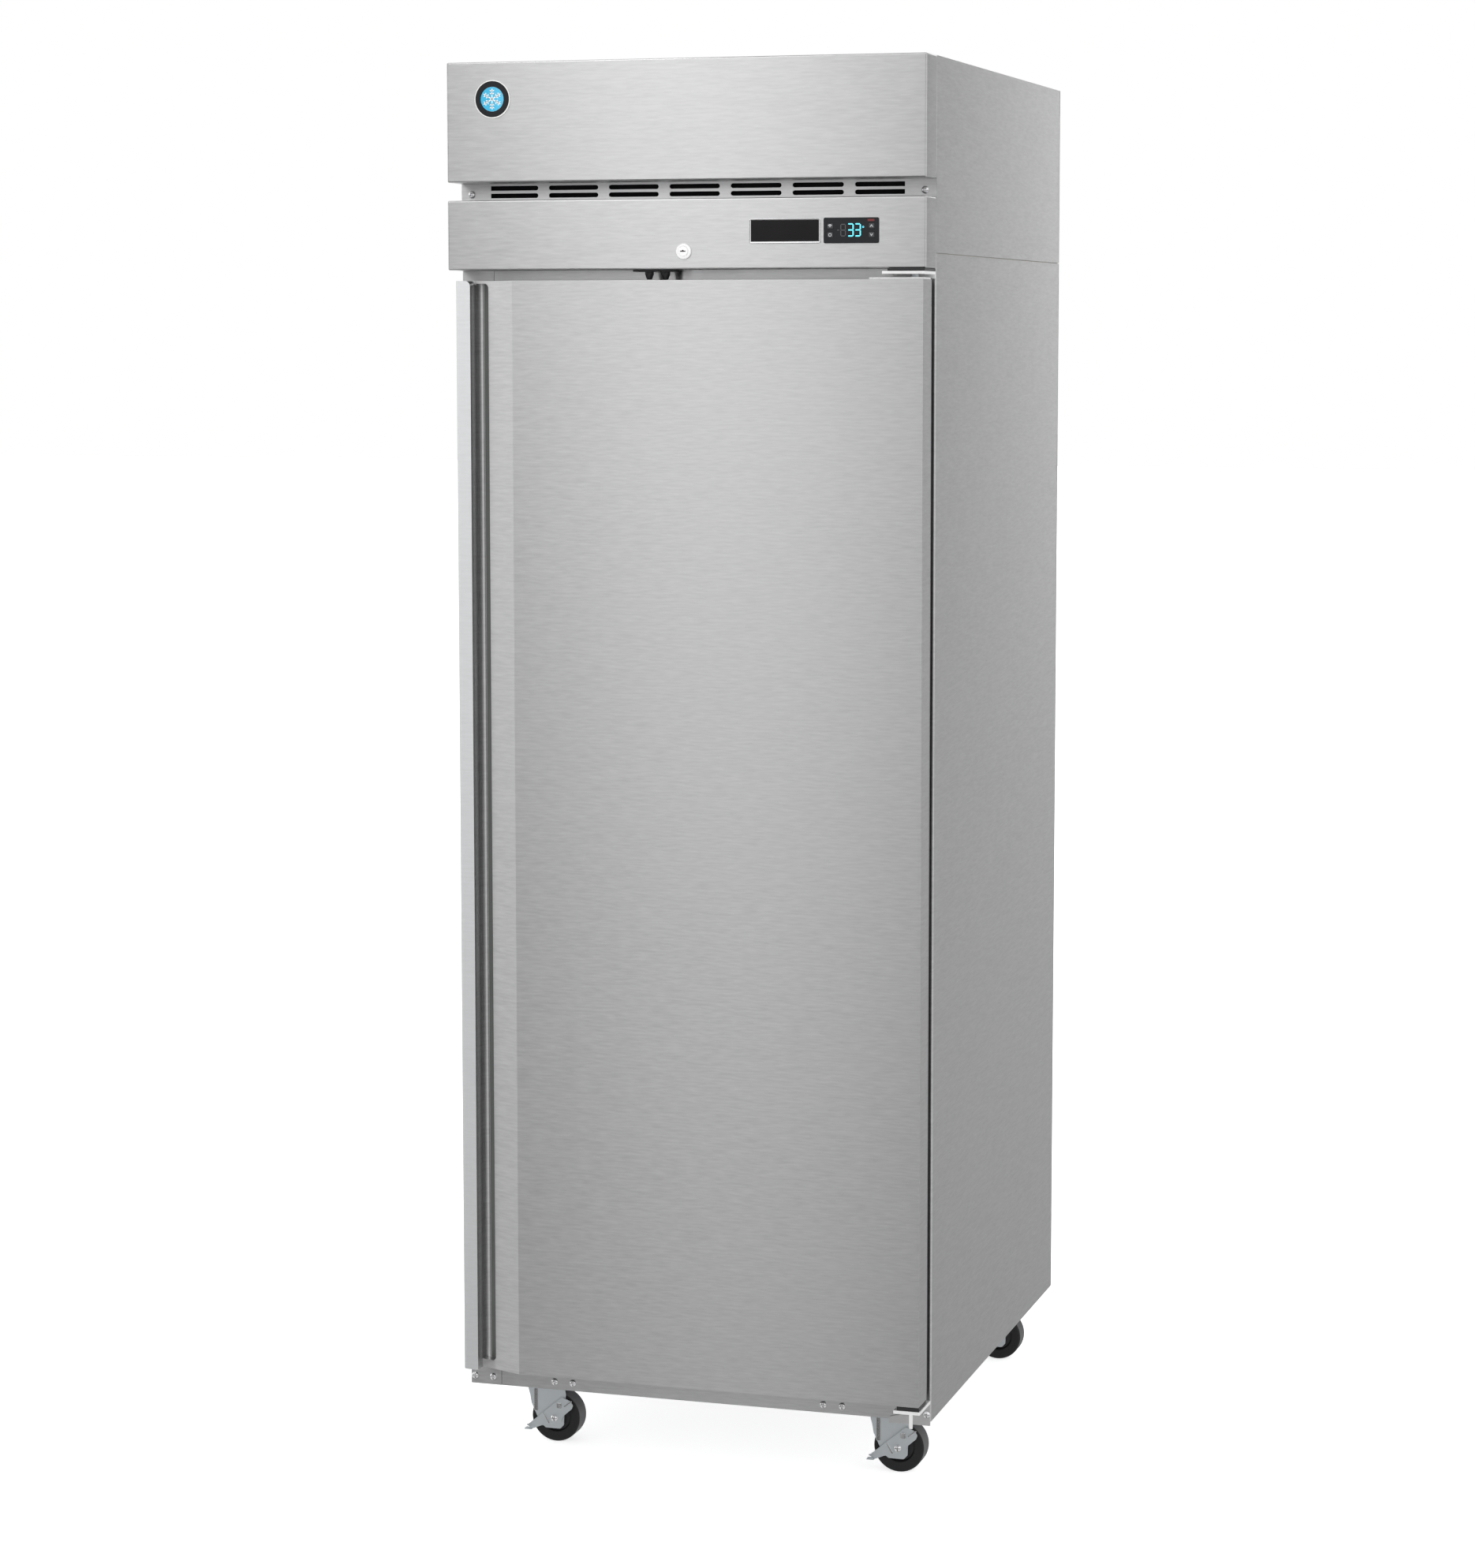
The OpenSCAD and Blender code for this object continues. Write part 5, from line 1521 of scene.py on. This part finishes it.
def caster(corner, swivel):
    """One caster: a fork that swivels under its plate, and a wheel on a bolt."""
    x, y, _ = swivel
    wheel = cad("caster_wheel_" + corner)
    fork = cad("caster_fork_" + corner)
    fork_body = JOINTS["swivel_" + corner]["child"]
    wheel_body = JOINTS["roll_" + corner]["child"]
    axle_x, _, axle_z = joint_at("roll_" + corner)
    cheek_in, cheek_t, crown_z, rib_z, race_r, bore_r = 17.5, 2.5, (83, 88), (46, 80), 26, 6.06
    race_z = fork.z1
    outline = smooth_outline(CHEEK, 4)

    def cheeks(bm):
        for s in (-1, 1):
            near, far = sorted((y + s * cheek_in, y + s * (cheek_in + cheek_t)))
            add_prism(bm, [(x + u, v) for u, v in outline], near, far, "Y")

    made = bevel(make("fork_cheeks_" + corner, cheeks), 0.5, 2)
    dress(made, fork_body, ZINC, "caster_fork_" + corner)

    def crown(bm):
        side = cheek_in + cheek_t
        right = arc(y + side - 3, crown_z[1] - 3, 3, turns(4))
        left = [(2 * y - u, v) for u, v in right[::-1]]
        add_prism(bm, right + left + [(y - side, crown_z[0]), (y + side, crown_z[0])], x - 22, x + 36, "X")

    made = bevel(make("fork_crown_" + corner, crown), 0.8, 2)
    cut(made, prism(disc(x, y, bore_r), crown_z[0] - 2, race_z))
    dress(made, fork_body, ZINC)
    race = [(bore_r, crown_z[1] - 0.5), (race_r - 3, crown_z[1] - 0.5), (race_r, crown_z[1] + 1.5),
            (race_r, crown_z[1] + 3.4), (race_r - 2.4, crown_z[1] + 4.2), (race_r - 2.4, crown_z[1] + 5.0),
            (race_r, crown_z[1] + 5.8), (race_r - 0.6, race_z), (bore_r, race_z)]
    piece("swivel_race_" + corner, fork_body, ZINC, lathe(race, upright(x, y, 0), 48, closed=True))

    front = fork.y0
    head = [(0, 4.2), (2.4, 4.0), (4.3, 3.2), (5.4, 1.9), (5.8, 0.6), (5.8, 0.0), (7.5, 0.0),
            (7.5, -1.4), (5, -1.4)]
    reach = y - front - 4.2
    bolt = head + [(5, -(reach * 2 + 1.5)), (7.5, -(reach * 2 + 1.5)), (7.5, -(reach * 2 + 4)),
                   (0, -(reach * 2 + 4))]
    place = facing_front(axle_x, front + 4.2, axle_z)
    piece("axle_bolt_" + corner, fork_body, BRIGHT_TRIM_AND_PAINTED_HIGHLIGHT, lathe(bolt, place, 36), slot="zinc_steel")

    # Each raised rib on the cheeks is in the bright trim: its brightness is a painted highlight along the
    # cheek's fold.
    def rib_highlights(bm):
        for side in (-1, 1):
            spot = y + side * (cheek_in + cheek_t - 0.1)
            add_prism(bm, arc(x - 8.5, spot, 3.4, turns(6, math.pi), side * 1.3), *rib_z)

    piece("fork_rib_highlights_" + corner, fork_body, BRIGHT_TRIM_AND_PAINTED_HIGHLIGHT, rib_highlights, edge=(0.5, 3, 50), slot="zinc_steel")

    half = (wheel.y1 - wheel.y0) / 2 - 1
    radius = (wheel.z1 - wheel.z0) / 2
    edge = 3.2
    side = [(21.5, half - 3.6), (22.6, half - 1.2), (24.0, half - 0.2), (30.5, half), (31.4, half)]
    tread = side + [(r, h) for h, r in arc(half - edge, radius - edge, edge, turns(6))]
    tread += [(r, -h) for r, h in tread[::-1]]
    place = facing_front(axle_x, wheel.y, axle_z)
    made = piece("tyre_" + corner, wheel_body, TYRE, lathe(tread, place, 72, closed=True),
                 "caster_wheel_" + corner)
    # Painted sheen: the tread faces take a lighter grey than the tyre's sides.
    paint_faces(made, TREAD_PAINTED_SHEEN,
                lambda c, n: math.hypot(c.x - axle_x, c.z - axle_z) > radius - edge and abs(n.y) < 0.5)
    bore = 5.06
    hub_half = half + 1
    hub = [(bore, hub_half), (12.5, hub_half), (13.6, hub_half - 1), (14.4, half - 5), (21.4, half - 5.5)]
    hub += [(r, -h) for r, h in hub[::-1]]
    piece("wheel_hub_" + corner, wheel_body, BLACK_PLASTIC, lathe(hub, place, 56, closed=True),
          slot="tyre_rubber")


def brake(side):
    """The pressed brake lever beside a front wheel."""
    corner = "front_" + side
    x = joint_at("swivel_" + corner)[0]
    body = JOINTS["brake_press_" + side]["child"]
    axle_x, _, axle_z = joint_at("roll_" + corner)
    b = cad("brake_lever_" + side)
    lever_t = 2.2
    face = b.y0 + 9
    outline = smooth_outline(LEVER, 3.2)
    made = make("brake_plate_" + side, prism([(x + u, v) for u, v in outline], face - lever_t, face, "Y"))
    cut(made, prism(disc(axle_x, axle_z, 5.06), face - 10, face + 10, "Y"))
    dress(bevel(made, 0.5, 2), body, ZINC, "brake_lever_" + side)
    # A raised square on the plate in the bright trim: its brightness is a painted highlight.
    piece("brake_rivet_highlight_" + side, body, BRIGHT_TRIM_AND_PAINTED_HIGHLIGHT,
          prism(rounded_rect(x + 25.5, x + 33, 53, 61, 0.8, 2), face - lever_t - 1.8,
                face - lever_t + 0.2, "Y"),
          edge=(0.5, 2), slot="zinc_steel")
    # Bright raised strips on the lever's arm and hook tip: painted highlights along its bends.
    arm = [(3, 45), (6.4, 43), (15, 29.6), (11.6, 28.4)]
    tip = [(36, 56.5), (48, 65.5), (49, 64), (37, 55)]

    def raised(bm):
        for outline in (arm, tip):
            add_prism(bm, [(x + u, v) for u, v in outline], face - lever_t - 1.4, face - lever_t + 0.2, "Y")

    piece("brake_fold_highlights_" + side, body, BRIGHT_TRIM_AND_PAINTED_HIGHLIGHT, raised, edge=(0.6, 2), slot="zinc_steel")
    piece("brake_pedal_" + side, body, ZINC, boxes(((x - 24, x - 13), (face - 9, face), (18.5, 20.5))),
          edge=(0.7, 3))


# ---- finishes of the CAD nodes that stay ----


def finish_cad_nodes():
    """Materials for the plain CAD solids that stay in view."""
    kept = {
        "back_panels": GALVANISED, "base_pan": GALVANISED, "breaker_frame": GREY_PLASTIC,
        "insulation": FOAM, "liner": LINER_STEEL, "machine_deck": GALVANISED,
    }
    for node, material in kept.items():
        shown = frame["nodes"][node]
        shown.data.materials.clear()
        shown.data.materials.append(material)


# ---- studio ----


def area_light(name, place, target, size, power):
    """A rectangular light aimed at a target."""
    data = bpy.data.lights.new(name, "AREA")
    data.shape = "RECTANGLE"
    data.size, data.size_y = size
    data.energy = power
    made = bpy.data.objects.new(name, data)
    made.location = place
    made.rotation_euler = (Vector(target) - Vector(place)).to_track_quat("-Z", "Y").to_euler()
    bpy.context.scene.collection.objects.link(made)


def studio():
    """The pale floor, the light, and the room that the steel reflects."""
    bm = bmesh.new()
    reach = 40
    corners = [bm.verts.new((x, y, -0.0005)) for x, y in ((-reach, -reach), (reach, -reach), (reach, reach),
                                                          (-reach, reach))]
    bm.faces.new(corners)
    mesh = bpy.data.meshes.new("floor")
    bm.to_mesh(mesh)
    bm.free()
    floor = bpy.data.objects.new("floor", mesh)
    bpy.context.scene.collection.objects.link(floor)
    p = Paint("pale_floor", roughness=0.85, specular=0.1)
    haze = p.noise((0.7, 0.7, 0.7), 2.0)
    pale = p.blend(p.range(haze, 0.0, 1.0), (0.90, 0.90, 0.90), (0.88, 0.88, 0.88))
    p.into("Base Color", pale)
    p.into("Emission Color", pale)
    p.bsdf.inputs["Emission Strength"].default_value = 0.75
    mesh.materials.append(p.material)
    floor.visible_glossy = False

    world = bpy.data.worlds.new("studio")
    bpy.context.scene.world = world
    world.use_nodes = True
    tree = world.node_tree
    tree.nodes.clear()
    add = tree.nodes.new
    link = tree.links.new
    place = add("ShaderNodeTexCoord")
    split = add("ShaderNodeSeparateXYZ")
    link(place.outputs["Generated"], split.inputs[0])

    def math_node(kind, *values):
        made = add("ShaderNodeMath")
        made.operation = kind
        for i, value in enumerate(values):
            if isinstance(value, bpy.types.NodeSocket):
                link(value, made.inputs[i])
            else:
                made.inputs[i].default_value = value
        return made.outputs[0]

    def ramp(value, *span):
        made = add("ShaderNodeMapRange")
        made.interpolation_type = "SMOOTHSTEP"
        link(value, made.inputs["Value"])
        for socket, number in zip(("From Min", "From Max", "To Min", "To Max"), span):
            made.inputs[socket].default_value = number
        return made.outputs["Result"]

    x, y, z = (split.outputs[n] for n in "XYZ")
    rise = ramp(z, -0.40, 0.25, 0.13, 1.07)
    centre = math_node("MULTIPLY_ADD", z, 0.11, 0.303)
    aside = math_node("ADD", x, centre)
    across = math_node("MAXIMUM", aside, math_node("MULTIPLY", aside, -1.7))
    panel = ramp(across, 0.0, 0.105, 2.5, 0.17)
    beside = math_node("MAXIMUM", ramp(x, -0.85, -0.65, 1.25, 0.20), ramp(x, 0.05, 0.25, 0.20, 0.95))
    low = math_node("MULTIPLY", ramp(across, 0.16, 0.26, 0.0, 1.0), ramp(z, -0.45, -0.25, 0.65, 0.0))
    front = math_node("MULTIPLY", rise, math_node("MAXIMUM", panel, beside))
    strip = math_node("MULTIPLY", ramp(x, 0.125, 0.208, 2.6, 0.0), ramp(x, 0.02, 0.10, 0.0, 1.0))
    glow = math_node("MULTIPLY", strip, ramp(z, -0.22, 0.12, 0.0, 1.0))
    fall = math_node("MULTIPLY", ramp(z, -0.20, 0.12, 0.47, 0.11), ramp(z, -0.42, -0.14, 0.55, 1.0))
    back = math_node("ADD", glow, fall)
    beyond = math_node("MAXIMUM", ramp(x, 0.40, 0.60, 0.0, 0.8), ramp(x, -0.10, 0.08, 0.8, 0.0))
    behind = math_node("MAXIMUM", back, beyond)
    rear_side = math_node("GREATER_THAN", y, 0.0)
    turn = add("ShaderNodeMix")
    link(rear_side, turn.inputs[0])
    link(math_node("MAXIMUM", front, low), turn.inputs[2])
    link(behind, turn.inputs[3])
    glossy = add("ShaderNodeEmission")
    link(turn.outputs[0], glossy.inputs["Strength"])
    even = add("ShaderNodeEmission")
    even.inputs["Strength"].default_value = 1.0
    rays = add("ShaderNodeLightPath")
    mix = add("ShaderNodeMixShader")
    link(rays.outputs["Is Glossy Ray"], mix.inputs["Fac"])
    link(even.outputs[0], mix.inputs[1])
    link(glossy.outputs[0], mix.inputs[2])
    out = add("ShaderNodeOutputWorld")
    link(mix.outputs[0], out.inputs["Surface"])

    area_light("key", (-0.6, -3.4, 4.6), (0, 0, 1.2), (2.6, 2.0), 20)


def camera():
    """The photograph's viewing angle."""
    data = bpy.data.cameras.new("camera")
    data.lens = 85.70
    data.sensor_width = 36
    data.shift_x = -0.0141
    data.shift_y = -0.05
    data.clip_end = 60
    made = bpy.data.objects.new("camera", data)
    made.location = (1.6083, -5.3973, 1.6402)
    made.rotation_euler = (math.radians(90 - 5.698), 0, math.radians(16.735))
    bpy.context.scene.collection.objects.link(made)
    bpy.context.scene.camera = made


camera()
sheet_metal()
louvre_hoods()
screws()
door_skin()
door_back()
hinge()
badges()
display()
lock()
door_switch()
shelves()
shelf_standards()
evaporator()
compressor()
condenser()
copper_lines()
condensate_tray()
cord_bushing()
casters()
finish_cad_nodes()
studio()
bpy.context.scene.view_settings.view_transform = "Standard"
